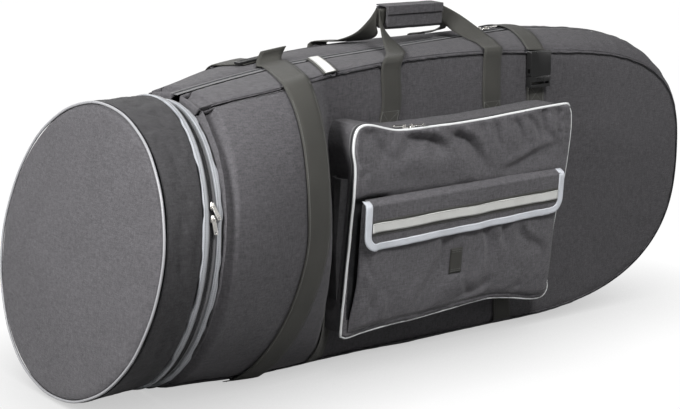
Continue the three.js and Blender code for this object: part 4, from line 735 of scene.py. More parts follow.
def sown(name, seeds, reach, radius, material):
    """Copies of the thread template at seeds, each (point, along, out), as one plain mesh."""
    mesh = mesh_of(name, [seed[0] for seed in seeds], [])
    for key, index in (("along", 1), ("out", 2)):
        layer = mesh.attributes.new(key, "FLOAT_VECTOR", "POINT")
        layer.data.foreach_set("vector", np.array([tuple(s[index]) for s in seeds], np.float32).ravel())
    piece = bpy.data.objects.new(name, mesh)
    bpy.context.scene.collection.objects.link(piece)
    tree = sowing_tree()
    modifier = piece.modifiers.new("sown", "NODES")
    modifier.node_group = tree
    sockets = {item.name: item.identifier for item in tree.interface.items_tree if item.in_out == "INPUT"}
    modifier[sockets["Template"]] = thread_template()
    modifier[sockets["Length"]] = reach
    modifier[sockets["Radius"]] = radius
    modifier[sockets["Finish"]] = material
    applied(piece)
    shade_smooth(piece.data)
    return piece


def sew(name, seeds, body, thread=sewing_thread):
    """A row of stitches on a body."""
    sizes = settings().stitches
    fit(sown(name, seeds, sizes.reach, sizes.radius, thread()), body)


def stitch_seeds(line, outs):
    """Seeds evenly spread along a line of points, with the surface's directions at them."""
    p, n = (np.array([tuple(q) for q in values]) for values in (line, outs))
    run = run_along(p)
    pitch = settings().stitches.pitch
    goal = np.arange(pitch / 2, run[-1], pitch)
    lead = spread(goal + pitch / 4, run, p) - spread(goal - pitch / 4, run, p)
    return list(zip(spread(goal, run, p), lead, spread(goal, run, n)))


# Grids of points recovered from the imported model's own pieces

def strip_middle(node, across):
    """Points halfway through a strip node: rows along its length, the given number of columns across."""
    bm = bmesh.new()
    bm.from_mesh(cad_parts[node].data)
    bmesh.ops.remove_doubles(bm, verts=bm.verts, dist=SAME_POINT)
    short = {v: min(v.link_edges, key=lambda e: e.calc_length()) for v in bm.verts}
    thick = {e for e in short.values() if short[e.verts[0]] == e and short[e.verts[1]] == e}
    limit = 1.6 * np.median([e.calc_length() for e in thick])
    owner = {v: e for e in thick if e.calc_length() < limit for v in e.verts}

    def beside(edge):
        third = [next(v for v in f.verts if v not in edge.verts) for f in edge.link_faces]
        return [owner[v] for v in third if v in owner]

    first = next(iter(owner.values()))
    loop, last, now = [first], first, beside(first)[0]
    while now != first:
        loop.append(now)
        last, now = now, next(e for e in beside(now) if e != last)
    at = np.array([(e.verts[0].co + e.verts[1].co) / 2 for e in loop])
    count = len(loop)
    rows = (count - 2 * (across - 1)) // 2 + 1

    def sides(offset):
        left = at[(offset + np.arange(rows)) % count]
        return left, at[(offset + 2 * (rows - 1) + across - 1 - np.arange(rows)) % count]

    def apart(pair):
        return np.linalg.norm(pair[0] - pair[1], axis=1).sum()

    left, right = min(map(sides, range(count)), key=apart)
    grid = np.stack([mix(left, right, t) for t in np.linspace(0, 1, across)], axis=1)
    every = np.array([v.co for v in bm.verts])
    for i in range(rows):
        for k in range(1, across - 1):
            near = np.argsort(np.linalg.norm(every - grid[i, k], axis=1))[:2]
            grid[i, k] = every[near].mean(axis=0)
    bm.free()
    return grid


def resampled(grid, rows, columns):
    """The same sheet with another number of rows and columns, smooth between the given ones."""
    count, across = grid.shape[:2]
    fine = curve_through(grid.reshape(count, -1), rows).reshape(rows, across, 3)
    turned = fine.transpose(1, 0, 2).reshape(across, -1)
    return curve_through(turned, columns).reshape(columns, rows, 3).transpose(1, 0, 2) if across > 2 else \
        np.stack([mix(fine[:, 0], fine[:, 1], t) for t in np.linspace(0, 1, columns)], axis=1)


def middle_grid(node, across, step=6 * MM, columns=7):
    """Points halfway through a strip node, evenly spread along it."""
    middle = strip_middle(node, across)
    line = middle[:, middle.shape[1] // 2]
    run = np.linalg.norm(np.diff(line, axis=0), axis=1).sum()
    return resampled(middle, max(4, int(run / step)), columns)


# Operators: one for each piece or group of like pieces

CAMERA_TARGET = Vector((-0.17396, 0, 0.24911))
LAMP_TARGET = Vector((-0.1, 0, 0.25))
FLOOR_HALF = 30             # metres


class GIGBAG_OT_stage(bpy.types.Operator):
    """Camera as in the photograph, soft lamps and a pale floor"""
    bl_idname = "gigbag.stage"
    bl_label = "Stage"

    def execute(self, context):
        sizes = settings().stage
        scene = bpy.context.scene
        scene.view_settings.view_transform = "Standard"
        a, e, r = sizes.azimuth, sizes.elevation, sizes.roll
        back = Vector((math.sin(a) * math.cos(e), -math.cos(a) * math.cos(e), math.sin(e)))
        right = Vector((math.cos(a), math.sin(a), 0))
        up = back.cross(right)
        turned_right = right * math.cos(r) + up * math.sin(r)
        turned_up = up * math.cos(r) - right * math.sin(r)
        camera = bpy.data.objects.new("photo_camera", bpy.data.cameras.new("photo_camera"))
        camera.data.lens = sizes.lens
        camera.data.sensor_width = 36
        camera.data.clip_end = 50
        camera.data.dof.use_dof = False
        camera.matrix_world = basis(turned_right, turned_up, back, CAMERA_TARGET + back * sizes.distance)
        scene.collection.objects.link(camera)
        scene.camera = camera
        self.floor()
        self.lamp("key_lamp", (-2.0, -0.25, 1.35), 0.9, sizes.key)
        self.lamp("top_lamp", (-0.3, -1.9, 2.6), 0.9, sizes.top)
        self.lamp("back_lamp", (0.4, 2.4, 2.4), 2.0, sizes.back)
        self.lamp("side_lamp", (2.3, -1.7, 0.8), 0.8, sizes.side)
        self.sky(sizes.sky)
        return {"FINISHED"}

    def lamp(self, name, place, size, power):
        data = bpy.data.lights.new(name, "AREA")
        data.shape = "DISK"
        data.size = size
        data.energy = power
        lamp = bpy.data.objects.new(name, data)
        lamp.location = place
        lamp.visible_camera = False
        lamp.rotation_euler = (LAMP_TARGET - lamp.location).to_track_quat("-Z", "Y").to_euler()
        bpy.context.scene.collection.objects.link(lamp)
        return lamp

    def floor(self):
        corners = [(x * FLOOR_HALF, y * FLOOR_HALF, 0) for x, y in ((-1, -1), (1, -1), (1, 1), (-1, 1))]
        return new_object("floor", mesh_of("floor", corners, [(0, 1, 2, 3)]), self.pale_floor())

    def pale_floor(self):
        """White to the camera with a painted contact shadow, a little darker near what stands on it, and mid
        grey to the light.
        """
        material, tree, shader = blank_material("pale_floor")
        grey = (0.25, 0.25, 0.25, 1)
        set_sockets(shader, {"Base Color": grey, "Roughness": 0.9, "Specular IOR Level": 0.1})
        # Painted contact shadow: ambient occlusion darkens the floor's white near what stands on it.
        painted_contact_shadow = add_node(tree, "ShaderNodeAmbientOcclusion", {"Distance": 0.22}, samples=8).outputs["AO"]
        level = maths(tree, "MULTIPLY_ADD", painted_contact_shadow, 0.5, 0.51)
        white = add_node(tree, "ShaderNodeEmission", {"Color": (1, 1, 1, 1), "Strength": level})
        path = add_node(tree, "ShaderNodeLightPath")
        blend = add_node(tree, "ShaderNodeMixShader",
                         {0: path.outputs["Is Camera Ray"], 1: shader.outputs[0], 2: white.outputs[0]})
        tree.links.new(blend.outputs[0], tree.nodes["Material Output"].inputs["Surface"])
        return material

    def sky(self, strength):
        world = bpy.data.worlds.new("white_room")
        bpy.context.scene.world = world
        world.use_nodes = True
        tree = world.node_tree
        tree.nodes.clear()
        light = add_node(tree, "ShaderNodeBackground", {"Color": (0.97, 0.98, 1, 1), "Strength": strength})
        white = add_node(tree, "ShaderNodeBackground", {"Color": (1, 1, 1, 1), "Strength": 1.0})
        path = add_node(tree, "ShaderNodeLightPath")
        seen = maths(tree, "MAXIMUM", path.outputs["Is Camera Ray"], path.outputs["Is Transmission Ray"])
        seen = maths(tree, "MAXIMUM", seen, maths(tree, "MULTIPLY", path.outputs["Is Glossy Ray"], 0.25))
        blend = add_node(tree, "ShaderNodeMixShader",
                         {0: seen, 1: light.outputs[0], 2: white.outputs[0]})
        end = tree.nodes.new("ShaderNodeOutputWorld")
        tree.links.new(blend.outputs[0], end.inputs["Surface"])


# Where the mouth, the cover and the pocket are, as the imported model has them

class Place:
    """A round or flat piece's own directions: right, out and up, about a point of the bag."""

    def __init__(self, at, right, out, up):
        self.at, self.right, self.out, self.up = (np.array(v, float) for v in (at, right, out, up))

    def world(self, x, y, z):
        """Points from the piece's own millimetres: x right, y out, z up."""
        x, y, z = (np.asarray(v, float)[..., None] * MM for v in (x, y, z))
        return self.at + x * self.right + y * self.out + z * self.up

    def around(self, radius, out, angle):
        """Points of a circle in the piece's plane, its angle counted from the top to the rear."""
        return self.world(radius * np.sin(angle), out, radius * np.cos(angle))

    def local(self, points):
        away = (np.asarray(points) - self.at) / MM
        return away @ self.right, away @ self.out, away @ self.up


def round_place(x, z, pitch, yaw):
    pitch, yaw = math.radians(pitch), math.radians(yaw)
    up = Vector((math.sin(pitch) * math.cos(yaw), math.sin(pitch) * math.sin(yaw), math.cos(pitch)))
    inwards = Vector((math.cos(pitch) * math.cos(yaw), math.cos(pitch) * math.sin(yaw), -math.sin(pitch)))
    return Place(bag_point(x, 0, z), up.cross(inwards), -inwards, up)


def pocket_place():
    yaw, lean, pitch = (math.radians(v) for v in (1.8, -3.4, 1.2))
    right = Vector((math.cos(yaw), math.sin(yaw), 0))
    rise = Vector((0, math.sin(lean), math.cos(lean)))
    along = (right * math.cos(pitch) - rise * math.sin(pitch)).normalized()
    up = right * math.sin(pitch) + rise * math.cos(pitch)
    up = (up - along * up.dot(along)).normalized()
    return Place(bag_point(389, -171, 73), along, -up.cross(along), up)


AXIS_HEIGHT = 262 * MM      # of the line through the middle of the bag
NECK_START = 17 * MM        # the padded neck starts this far behind the bell zip
STRAP_AXIS = 270 * MM       # webbing faces away from the line at this height
MOUTH = round_place(118, 236, 10.2, -3)         # x and height in millimetres, lean and turn in degrees
COVER = round_place(0, 237.5, 12.75, 4.84)
POCKET = pocket_place()     # its out is towards the viewer


# Straps of the shell, with the columns that their nodes have

STRAPS = {"neck_strap_front": 5, "neck_strap_rear": 5, "top_band_webbing": 2, "top_band_reflector": 2,
          "handle_strap_front": 5, "handle_strap_rear": 5, "buckle_strap_upper": 3, "buckle_strap_lower": 3,
          "shoulder_webbing_upper": 2, "shoulder_webbing_lower": 2}
strap_grids = {}


def strap_grid(name):
    if name not in strap_grids:
        strap_grids[name] = middle_grid(name, STRAPS[name])
    return strap_grids[name]


def outward(grid):
    """Normals of a strap's grid that point away from the middle of the bag."""
    normal = grid_normals(grid)[1]
    away = grid - np.array((0, 0, STRAP_AXIS))
    away[..., 0] = 0
    return normal * np.sign((normal * away).sum())


def on_shell():
    """Search trees of everything that lies on the padded shell: points, and faces."""
    if "points" not in strap_grids:
        nodes = [n for n in STRAPS if n != "top_band_reflector"]
        lying = [strap_grid(n).reshape(-1, 3) for n in nodes]
        rest = ("neck_strap_lock", "shoulder_strap_upper", "shoulder_strap_lower", "buckle_female")
        lying += [coordinates(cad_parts[n].data) for n in rest]
        verts, faces = [], []
        for n in nodes:
            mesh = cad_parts[n].data
            faces += [[len(verts) + v for v in p.vertices] for p in mesh.polygons]
            verts += [v.co.copy() for v in mesh.vertices]
        strap_grids["points"] = search_tree(np.concatenate(lying))
        strap_grids["faces"] = BVHTree.FromPolygons(verts, faces)
    return strap_grids["points"], strap_grids["faces"]


def keep_under(piece, gap=0.35 * MM, reach=7 * MM):
    """Presses the cloth down where webbing lies on it."""
    near, faces = on_shell()
    co, normal = coordinates(piece.data), normals_of(piece.data)
    for i, (point, up) in enumerate(zip(co, normal)):
        if near.find(point)[2] > 14 * MM:
            continue
        start = Vector(point - up * reach)
        hit = faces.ray_cast(start, Vector(up), reach + gap)
        if hit[0] is not None and hit[3] < reach + gap:
            co[i] = point - up * (reach + gap - hit[3])
    set_coordinates(piece.data, co)


def foam_relief(points, normals, away):
    """Slow waves in the foam, small gathers along the seams, and calm cloth under straps."""
    sizes = settings().padding
    calm = smooth(distances(on_shell()[0], points), 5 * MM, 36 * MM)
    inner = smooth(away, 2 * MM, 34 * MM)
    rolled = np.clip(1 - away / sizes.roll_width, 0, 1)
    roll = sizes.roll * (np.sqrt(1 - rolled * rolled) - 1)
    radial = points - np.array((0, 0, AXIS_HEIGHT))
    radial[:, 0] = 0
    outer = np.clip((radial * normals).sum(axis=1) / np.linalg.norm(radial, axis=1), 0, 1)
    behind = -MOUTH.local(points)[1] * MM - NECK_START
    width = sizes.neck_width
    groove = mix(sizes.roll, sizes.neck_groove, smooth(behind, 0.1 * width, 0.3 * width))
    dip = -groove * outer * (1 - smooth(behind, 0.6 * width, 1.2 * width))
    roll = np.minimum(roll, dip)
    slow = wave(points, 150 * MM, 3.1) + 0.5 * wave(points, 66 * MM, 7.7)
    small = 0.22 * wave(points, 22 * MM, 1.9)
    gather = wave(points, 9 * MM, 5.3) * np.exp(-away / (11 * MM))
    return roll + calm * (sizes.ripple * (slow * inner + small) + sizes.pucker * gather)


def gusset_relief(points, normals, away):
    """As the panels, with gathers across the gusset where it goes round the bow end."""
    x = points[:, 0] + ORIGIN_X
    bow = smooth(x, 850 * MM, 960 * MM)
    across = wave(points, 15 * MM, 2.2, (1, 6, 1.4)) + 0.6 * wave(points, 33 * MM, 8.2, (1, 5, 1.4))
    gathers = 1.7 * MM * bow * across * smooth(away, 0, 9 * MM)
    return foam_relief(points, normals, away) * (1 - 0.4 * bow) + gathers


def line_inside(piece, inside):
    """Gives the faces that look into the bag the lining: inside is true where a point looks in."""
    mesh = piece.data
    centre = np.array([p.center for p in mesh.polygons])
    normal = np.array([p.normal for p in mesh.polygons])
    look = inside(centre, normal)
    mesh.polygons.foreach_set("material_index", look.astype(np.int32))


BOW_START = 0.4             # where the bow end's rounding begins


def to_middle(centre, normal):
    """True for faces that look at the bag's middle line."""
    away = centre - np.array((0, 0, AXIS_HEIGHT))
    away[:, 0] = np.maximum(centre[:, 0] - BOW_START, 0)
    away /= np.maximum(np.linalg.norm(away, axis=1, keepdims=True), 1e-9)
    return (away * normal).sum(axis=1) < -0.35


class GIGBAG_OT_shell(bpy.types.Operator):
    """Padded front and rear panels, top gussets and the narrow side it lies on"""
    bl_idname = "gigbag.shell"
    bl_label = "Padded shell"

    def execute(self, context):
        sizes = settings().padding
        for node in ("front_panel", "rear_panel", "top_gusset_front", "top_gusset_rear", "bottom_gusset"):
            relief = foam_relief if node.endswith("panel") else gusset_relief
            piece = soft_piece(node + "_cloth", node, (nylon(), lining()), sizes.edge, sizes.levels, relief)
            keep_under(piece)
            above_floor(piece)
            line_inside(piece, to_middle)
            fit(piece, SHELL, node, "nylon_charcoal")
        return {"FINISHED"}


MAIN_TAPE_HALF = 11         # millimetres
CREST_CENTRE = 0.25         # height from which the crest is seen as one sweep


def crest_line(step=5 * MM):
    """The main zip's middle line, from the bell end over the crest to the floor, and its way out."""
    co = coordinates(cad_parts["main_zip"].data)
    edge = np.unique(np.round(co[co[:, 1] < (0.1 - MAIN_TAPE_HALF) * MM], 6), axis=0)
    angle = np.arctan2(edge[:, 2] - CREST_CENTRE, edge[:, 0])
    edge = edge[np.argsort(-angle)]
    pairs = (edge[0::2] + edge[1::2]) / 2
    pairs[:, 1] = 0
    run = np.linalg.norm(np.diff(pairs, axis=0), axis=1).sum()
    line = curve_through(pairs, int(run / step))
    along = np.gradient(line, axis=0)
    out = np.stack([-along[:, 2], np.zeros(len(line)), along[:, 0]], axis=1)
    return line, out / np.linalg.norm(out, axis=1, keepdims=True)


def coil_seeds(line, out, side, pitch, slant=0.22, apart=1.1 * MM):
    """Seeds of both rows of a zip's coil along a line; side is the way across it."""
    seeds = []
    run = run_along(line)
    for way in (-1, 1):
        goal = np.arange(pitch * (0.5 + 0.25 * way), run[-1], pitch)
        at, up, across = (spread(goal, run, v) for v in (line, out, side))
        ahead = np.cross(across, up)
        for p, u, s, a in zip(at, up, across, ahead):
            seeds.append((p + s * way * apart, s + a * slant * way, u))
    return seeds


class GIGBAG_OT_main_zip(bpy.types.Operator):
    """Long crest zip: tape, coil and its two sliders"""
    bl_idname = "gigbag.main_zip"
    bl_label = "Crest zip"

    def execute(self, context):
        sizes = settings().zips
        line, out = crest_line()
        offsets = np.linspace(-MAIN_TAPE_HALF, MAIN_TAPE_HALF, 7) * MM
        side = np.tile((0.0, 1.0, 0.0), (len(line), 1))
        grid = np.stack([line + out * 0.5 * MM + side * y for y in offsets], axis=1)
        tape = web_strip("main_zip_tape", grid, zip_cloth(), 1.2 * MM)
        fit(tape, SHELL, "main_zip", "zip_tape")
        seeds = coil_seeds(line + out * 1.5 * MM, out, side, sizes.pitch)
        fit(sown("main_zip_coil", seeds, sizes.reach, sizes.radius, coil_nylon()), SHELL)
        hardware("main_zip_left", "main_zip_right")
        return {"FINISHED"}


def hardware(*names):
    """Sliders and pulls in nickel, with their edges broken."""
    for name in names:
        for node in (f"{name}_slider", f"{name}_pull"):
            rigid_piece(node, nickel(), node, 0.22 * MM, "nickel")


def rigid_piece(node, material, body, edge, slot, segments=2):
    mesh, _ = node_mesh(node, edge, segments, 30)
    piece = new_object(node + "_part", mesh, material)
    piece.data.set_sharp_from_angle(angle=math.radians(38))
    return fit(piece, body, node, slot)


def lathe(name, place, profile, material, segments=240, closed=True, relief=None):
    """A turned piece about a round place: profile is (radius, out) in millimetres."""
    angle = np.linspace(0, 2 * math.pi, segments, endpoint=False)
    radius, out = np.array(profile, float).T
    grid = np.stack([place.around(radius, out, np.full(len(radius), a)) for a in angle])
    if relief is not None:
        grid = grid + relief(grid, radius, angle)
    rows, columns = grid.shape[:2]
    last = columns if closed else columns - 1
    faces = []
    for i in range(rows):
        for j in range(last):
            k, n = (i + 1) % rows, (j + 1) % columns
            faces.append((i * columns + j, i * columns + n, k * columns + n, k * columns + j))
    mesh = mesh_of(name, grid.reshape(-1, 3), faces)
    steps = np.hypot(np.diff(radius, append=radius[0]), np.diff(out, append=out[0])) * MM
    u = np.concatenate([[0], np.cumsum(steps)])
    around = radius.max() * MM * 2 * math.pi / segments
    layer = mesh.uv_layers.new(name=UV_NAME)
    for polygon in mesh.polygons:
        i, j = divmod(polygon.index, last)
        corners = ((j, i), (j + 1, i), (j + 1, i + 1), (j, i + 1))
        for k, (across, along) in zip(polygon.loop_indices, corners):
            layer.data[k].uv = (u[across], along * around)
    return new_object(name, faced_outwards(mesh, 1e-6), material)


def rounded_box(r0, r1, a, b, corner=1.0):
    """Closed profile between two radii and two distances out, its outer corners rounded."""
    arc = [(math.cos(t), math.sin(t)) for t in np.linspace(0, math.pi / 2, 4)]
    low, high = min(a, b), max(a, b)
    right = [(r1 - corner + corner * s, high - corner + corner * c) for c, s in arc]
    left = [(r1 - corner + corner * c, low + corner - corner * s) for c, s in arc]
    flat = [(r1, y) for y in np.linspace(high - corner, low + corner, 5)[1:-1]]
    return [(r0, high)] + right + flat + left + [(r0, low)]


COIL_RADIUS = 230
TAPE_RADII = 226, 228.6
BINDING_FOOT = 225
BINDING_TOPS = {"body": 232.5, "cover": 236.5}
BINDING_SPAN = 8.3, 16.7     # out from the middle of the zip
BINDING_ROWS = 10.2, 14.9    # rows of stitches


class GIGBAG_OT_bell_zip(bpy.types.Operator):
    """Zip round the bell mouth: two tapes, two half coils, two bindings and two sliders"""
    bl_idname = "gigbag.bell_zip"
    bl_label = "Bell zip"

    def execute(self, context):
        sizes = settings().zips

        def sway(grid, radius, angle):
            amount = 1.3 * np.sin(angle * 9 + 1) + 0.9 * np.sin(angle * 23) + 0.5 * np.sin(angle * 41 + 2)
            offset = abs((grid - MOUTH.at) @ MOUTH.out) / MM
            share = smooth(offset, 9, 16)
            return ((amount * MM)[:, None] * share)[..., None] * MOUTH.out

        for side, body, half in ((-1, SHELL, "body"), (1, BELL_COVER, "cover")):
            top = BINDING_TOPS[half]
            tape = lathe(f"bell_zip_{half}_tape", MOUTH, rounded_box(*TAPE_RADII, side * 0.35, side * 8, 0.3),
                         zip_cloth())
            fit(tape, body, f"bell_zip_{half}_half", "zip_tape")
            low, high = (side * out for out in BINDING_SPAN)
            binding = lathe(f"{half}_binding_tape", MOUTH, rounded_box(BINDING_FOOT, top, low, high, 1.6),
                            grey_tape(), relief=sway)
            fit(binding, body, f"{half}_binding", "binding_grey")
            fit(sown(f"bell_zip_{half}_coil", self.teeth(side, sizes.pitch), 3.1 * MM, sizes.radius,
                     coil_nylon()), body)
            for out in BINDING_ROWS:
                self.row(f"{half}_binding_stitches_{int(out)}", top, side * out, body)
        hardware("bell_zip_upper", "bell_zip_lower")
        return {"FINISHED"}

    def teeth(self, side, pitch):
        count = int(2 * math.pi * COIL_RADIUS * MM / pitch)
        angle = (np.arange(count) + 0.25 * side) * 2 * math.pi / count
        at = MOUTH.around(COIL_RADIUS, side * 1.8, angle)
        out = MOUTH.around(COIL_RADIUS + 1, side * 1.8, angle) - at
        ahead = np.cross(MOUTH.out, out)
        lead = ahead / np.linalg.norm(ahead, axis=1, keepdims=True)
        return [(p, MOUTH.out + 0.2 * side * a, o) for p, a, o in zip(at, lead, out)]

    def row(self, name, radius, out, body):
        angle = np.linspace(0, 2 * math.pi, 361)
        line = MOUTH.around(radius + 0.1, out, angle)
        up = MOUTH.around(radius + 1, out, angle) - line
        sew(name, stitch_seeds(line, up), body)


DISC_RADIUS = 232
DISC_DOME = 11              # how far the disc's middle stands out
DISC_FALL = 3.6             # how far its rim falls back into the piping
DISC_BACK = ((232, -4.2), (231, -6.5), (225, -14), (150, -14), (60, -14), (0, -14))


class GIGBAG_OT_bell_cover(bpy.types.Operator):
    """Zip-off bell cover: domed disc, thin piping, padded drum and fabric hinge"""
    bl_idname = "gigbag.bell_cover"
    bl_label = "Bell cover"

    def execute(self, context):
        sizes = settings().padding
        fit(self.disc(), BELL_COVER, "bell_cover_disc", "nylon_charcoal")
        angle = np.linspace(0, 2 * math.pi, 240, endpoint=False)
        line = COVER.around(234.8 + 0.25 * np.sin(angle * 17), -2.5 + 0.5 * np.sin(angle * 7 + 2), angle)
        rim = tube("bell_cover_rim", line, 2.2 * MM, rim_vinyl(), outward=COVER.out)
        fit(rim, BELL_COVER, "bell_cover_piping", "piping_white")
        drum = soft_piece("bell_cover_drum", "bell_cover_wall", (dark_nylon(), lining()), 1.6 * MM,
                          sizes.levels, self.wrinkles)
        above_floor(drum)
        line_inside(drum, self.looks_in)
        fit(drum, BELL_COVER, "bell_cover_wall", "nylon_dark")
        for node, body in (("cover_hinge_leaf", BELL_COVER), ("body_hinge_leaf", SHELL)):
            leaf = soft_piece(node + "_cloth", node, (dark_nylon(),), 0.6 * MM, 2)
            fit(leaf, body, node, "webbing")
        return {"FINISHED"}

    def looks_in(self, centre, normal):
        away = centre - COVER.at
        away -= (away @ COVER.out)[:, None] * COVER.out
        return (away * normal).sum(axis=1) < 0

    def wrinkles(self, points, normals, away):
        calm = smooth(away, 0, 16 * MM)
        creases = wave(points, 26 * MM, 4.4, (0.8, 1, 2.6)) + 0.6 * wave(points, 58 * MM, 9.9)
        sharp = np.minimum(0, wave(points, 15 * MM, 6.1, (0.8, 1.2, 4.0)) + 0.1)
        rolled = np.clip(1 - away / (14 * MM), 0, 1)
        return calm * (1.9 * MM * creases + 4.4 * MM * sharp) - 3.0 * MM * (1 - np.sqrt(1 - rolled * rolled))

    def disc(self):
        r = np.concatenate([np.linspace(0, 1, 30)[:-1] ** 0.8 * 0.975, [0.975, 0.99, 0.998]])
        front = [(DISC_RADIUS * s, DISC_DOME * (1 - s ** 2.33) - DISC_FALL * max(0, (s - 0.955) / 0.045) ** 2)
                 for s in r]

        def folds(grid, radius, angle):
            share = radius / DISC_RADIUS
            rim = within(share, 0.62, 0.97, 0.965, 1.0)
            ripple = np.sin(angle * 31 + 2 * np.sin(angle * 5)) * 0.35 + np.sin(angle * 13 + 1) * 0.5
            flat = grid.reshape(-1, 3)
            slow = wave(flat, 120 * MM, 12.5).reshape(grid.shape[:2])
            fine = wave(flat, 46 * MM, 3.5).reshape(grid.shape[:2])
            front_face = np.arange(len(radius)) < len(front)
            amount = ripple[:, None] * rim + (1.9 * slow + 0.7 * fine) * smooth(-share, -1.0, -0.8)
            return (amount * front_face * MM)[..., None] * COVER.out

        piece = lathe("bell_cover_face", COVER, front + list(DISC_BACK), nylon(), closed=False, relief=folds)
        return piece


def web_strip(name, grid, material, thickness, sway=0.0):
    """A webbing strip whose middle surface is the grid."""
    normal = outward(grid)
    if sway:
        flat = grid.reshape(-1, 3)
        grid = grid + normal * (sway * wave(flat, 38 * MM, 2.7).reshape(grid.shape[:2]))[..., None]
    half = np.full(grid.shape[1], thickness / 2)
    half[0] = half[-1] = 0.6 * thickness / 2
    top = grid + normal * half[None, :, None]
    under = grid - normal * half[None, :, None]
    return closed_strip(name, top, under, material)


def on_grid(grid, row, column):
    """A point of the grid at fractional rows and columns."""
    i = min(int(row), grid.shape[0] - 2)
    j = min(int(column), grid.shape[1] - 2)
    a, b = row - i, column - j
    return mix(mix(grid[i, j], grid[i, j + 1], b), mix(grid[i + 1, j], grid[i + 1, j + 1], b), a)


def sewn_lines(grid, lines, lift):
    """Stitch seeds along lines drawn on a grid, each a list of (row, column)."""
    top = grid + outward(grid) * lift
    normal = outward(grid)
    seeds = []
    for line in lines:
        path, outs = [], []
        for (r0, c0), (r1, c1) in zip(line, line[1:]):
            for t in np.linspace(0, 1, 24):
                path.append(on_grid(top, mix(r0, r1, t), mix(c0, c1, t)))
                outs.append(on_grid(normal, mix(r0, r1, t), mix(c0, c1, t)))
        keep = [0] + [i for i in range(1, len(path)) if np.linalg.norm(path[i] - path[i - 1]) > 1e-6]
        seeds += stitch_seeds([path[i] for i in keep], [outs[i] for i in keep])
    return seeds


def edge_lines(first, last, columns, inset=0.45):
    return [[(first, inset), (last, inset)], [(first, columns - 1 - inset), (last, columns - 1 - inset)]]


def cross_box(first, last, columns, inset=0.45):
    """A sewn box with a cross in it, from one row of a strap to another."""
    low, high = inset, columns - 1 - inset
    return [[(first, low), (last, low), (last, high), (first, high), (first, low)],
            [(first, low), (last, high)], [(first, high), (last, low)]]


def strap(name, node, lines=(), sway=0.25 * MM, body=SHELL, slot="webbing", material=None, thickness=None):
    """A strap of the shell, with its rows of stitches."""
    thickness = thickness or settings().webbing.thickness
    grid = strap_grid(node)
    piece = web_strip(name, grid, material or strap_web(), thickness, sway)
    fit(piece, body, node, slot)
    if lines:
        sew(name + "_stitches", sewn_lines(grid, lines, thickness / 2 + 0.1 * MM), body)


def row_at(grid, height, rising_first=True):
    """The row of a strap's grid nearest to a height, seen from its first or its last end."""
    z = grid[:, grid.shape[1] // 2, 2]
    half = len(z) // 2
    part = z[:half] if rising_first else z[half:]
    return int(np.argmin(abs(part - height))) + (0 if rising_first else half)


class GIGBAG_OT_straps(bpy.types.Operator):
    """Neck strap, reflective band and buckle strap over the crest"""
    bl_idname = "gigbag.straps"
    bl_label = "Girth straps"

    def execute(self, context):
        for side, first in (("front", 14), ("rear", 8)):
            last = len(strap_grid(f"neck_strap_{side}")) - 2
            strap(f"neck_webbing_{side}", f"neck_strap_{side}", edge_lines(first, last, 7, 0.35))
        rigid_piece("neck_strap_lock", black_plastic(), SHELL, 0.7 * MM, "buckle_plastic")
        last = len(strap_grid("top_band_webbing")) - 1
        strap("band_webbing", "top_band_webbing", edge_lines(0, last, 7, 0.4), sway=0)
        strap("band_reflector", "top_band_reflector", edge_lines(0, last, 7, 0.3), sway=0, slot="reflective",
              material=silver_strip(), thickness=0.8 * MM)
        upper = len(strap_grid("buckle_strap_upper")) - 1
        strap("buckle_webbing_upper", "buckle_strap_upper", edge_lines(0, upper * 0.6, 7))
        lower = len(strap_grid("buckle_strap_lower")) - 1
        strap("buckle_webbing_lower", "buckle_strap_lower",
              edge_lines(8, lower, 7) + cross_box(1, 7, 7) + cross_box(lower - 6, lower - 0.5, 7))
        for node, body in (("buckle_female", SHELL), ("buckle_male", "buckle_male"),
                           ("buckle_prong_left", "buckle_prong_left"),
                           ("buckle_prong_right", "buckle_prong_right")):
            rigid_piece(node, black_plastic(), body, 0.5 * MM if "prong" in node else 0.9 * MM,
                        "buckle_plastic", 3)
        return {"FINISHED"}


HANDLE_SEWN = 27, 396, 429   # heights of the webbing's foot, and of its sewn box's lower and upper end


class GIGBAG_OT_handle(bpy.types.Operator):
    """Carry handle: two webbing loops in a padded wrap with a flap"""
    bl_idname = "gigbag.handle"
    bl_label = "Carry handle"

    def execute(self, context):
        for side in ("front", "rear"):
            grid = strap_grid(f"handle_strap_{side}")
            lines = []
            for first in (True, False):
                foot, box, sewn = (row_at(grid, z * MM, first) for z in HANDLE_SEWN)
                lines += edge_lines(foot, sewn, 7) + cross_box(box, sewn, 7)
            strap(f"handle_webbing_{side}", f"handle_strap_{side}", lines)
        wrap = soft_piece("grip_padding", "grip_wrap", (nylon(),), 1.2 * MM, 3, self.creases, 12)
        fit(wrap, SHELL, "grip_wrap", "nylon_dark")
        flap = soft_piece("grip_cover", "grip_flap", (nylon(),), 0.9 * MM, 3, self.creases, 12)
        fit(flap, "grip_flap", "grip_flap", "nylon_dark")
        return {"FINISHED"}

    def creases(self, points, normals, away):
        return 0.5 * MM * wave(points, 17 * MM, 3.3, (1, 3, 3)) + 0.15 * MM * wave(points, 6 * MM, 1.3)


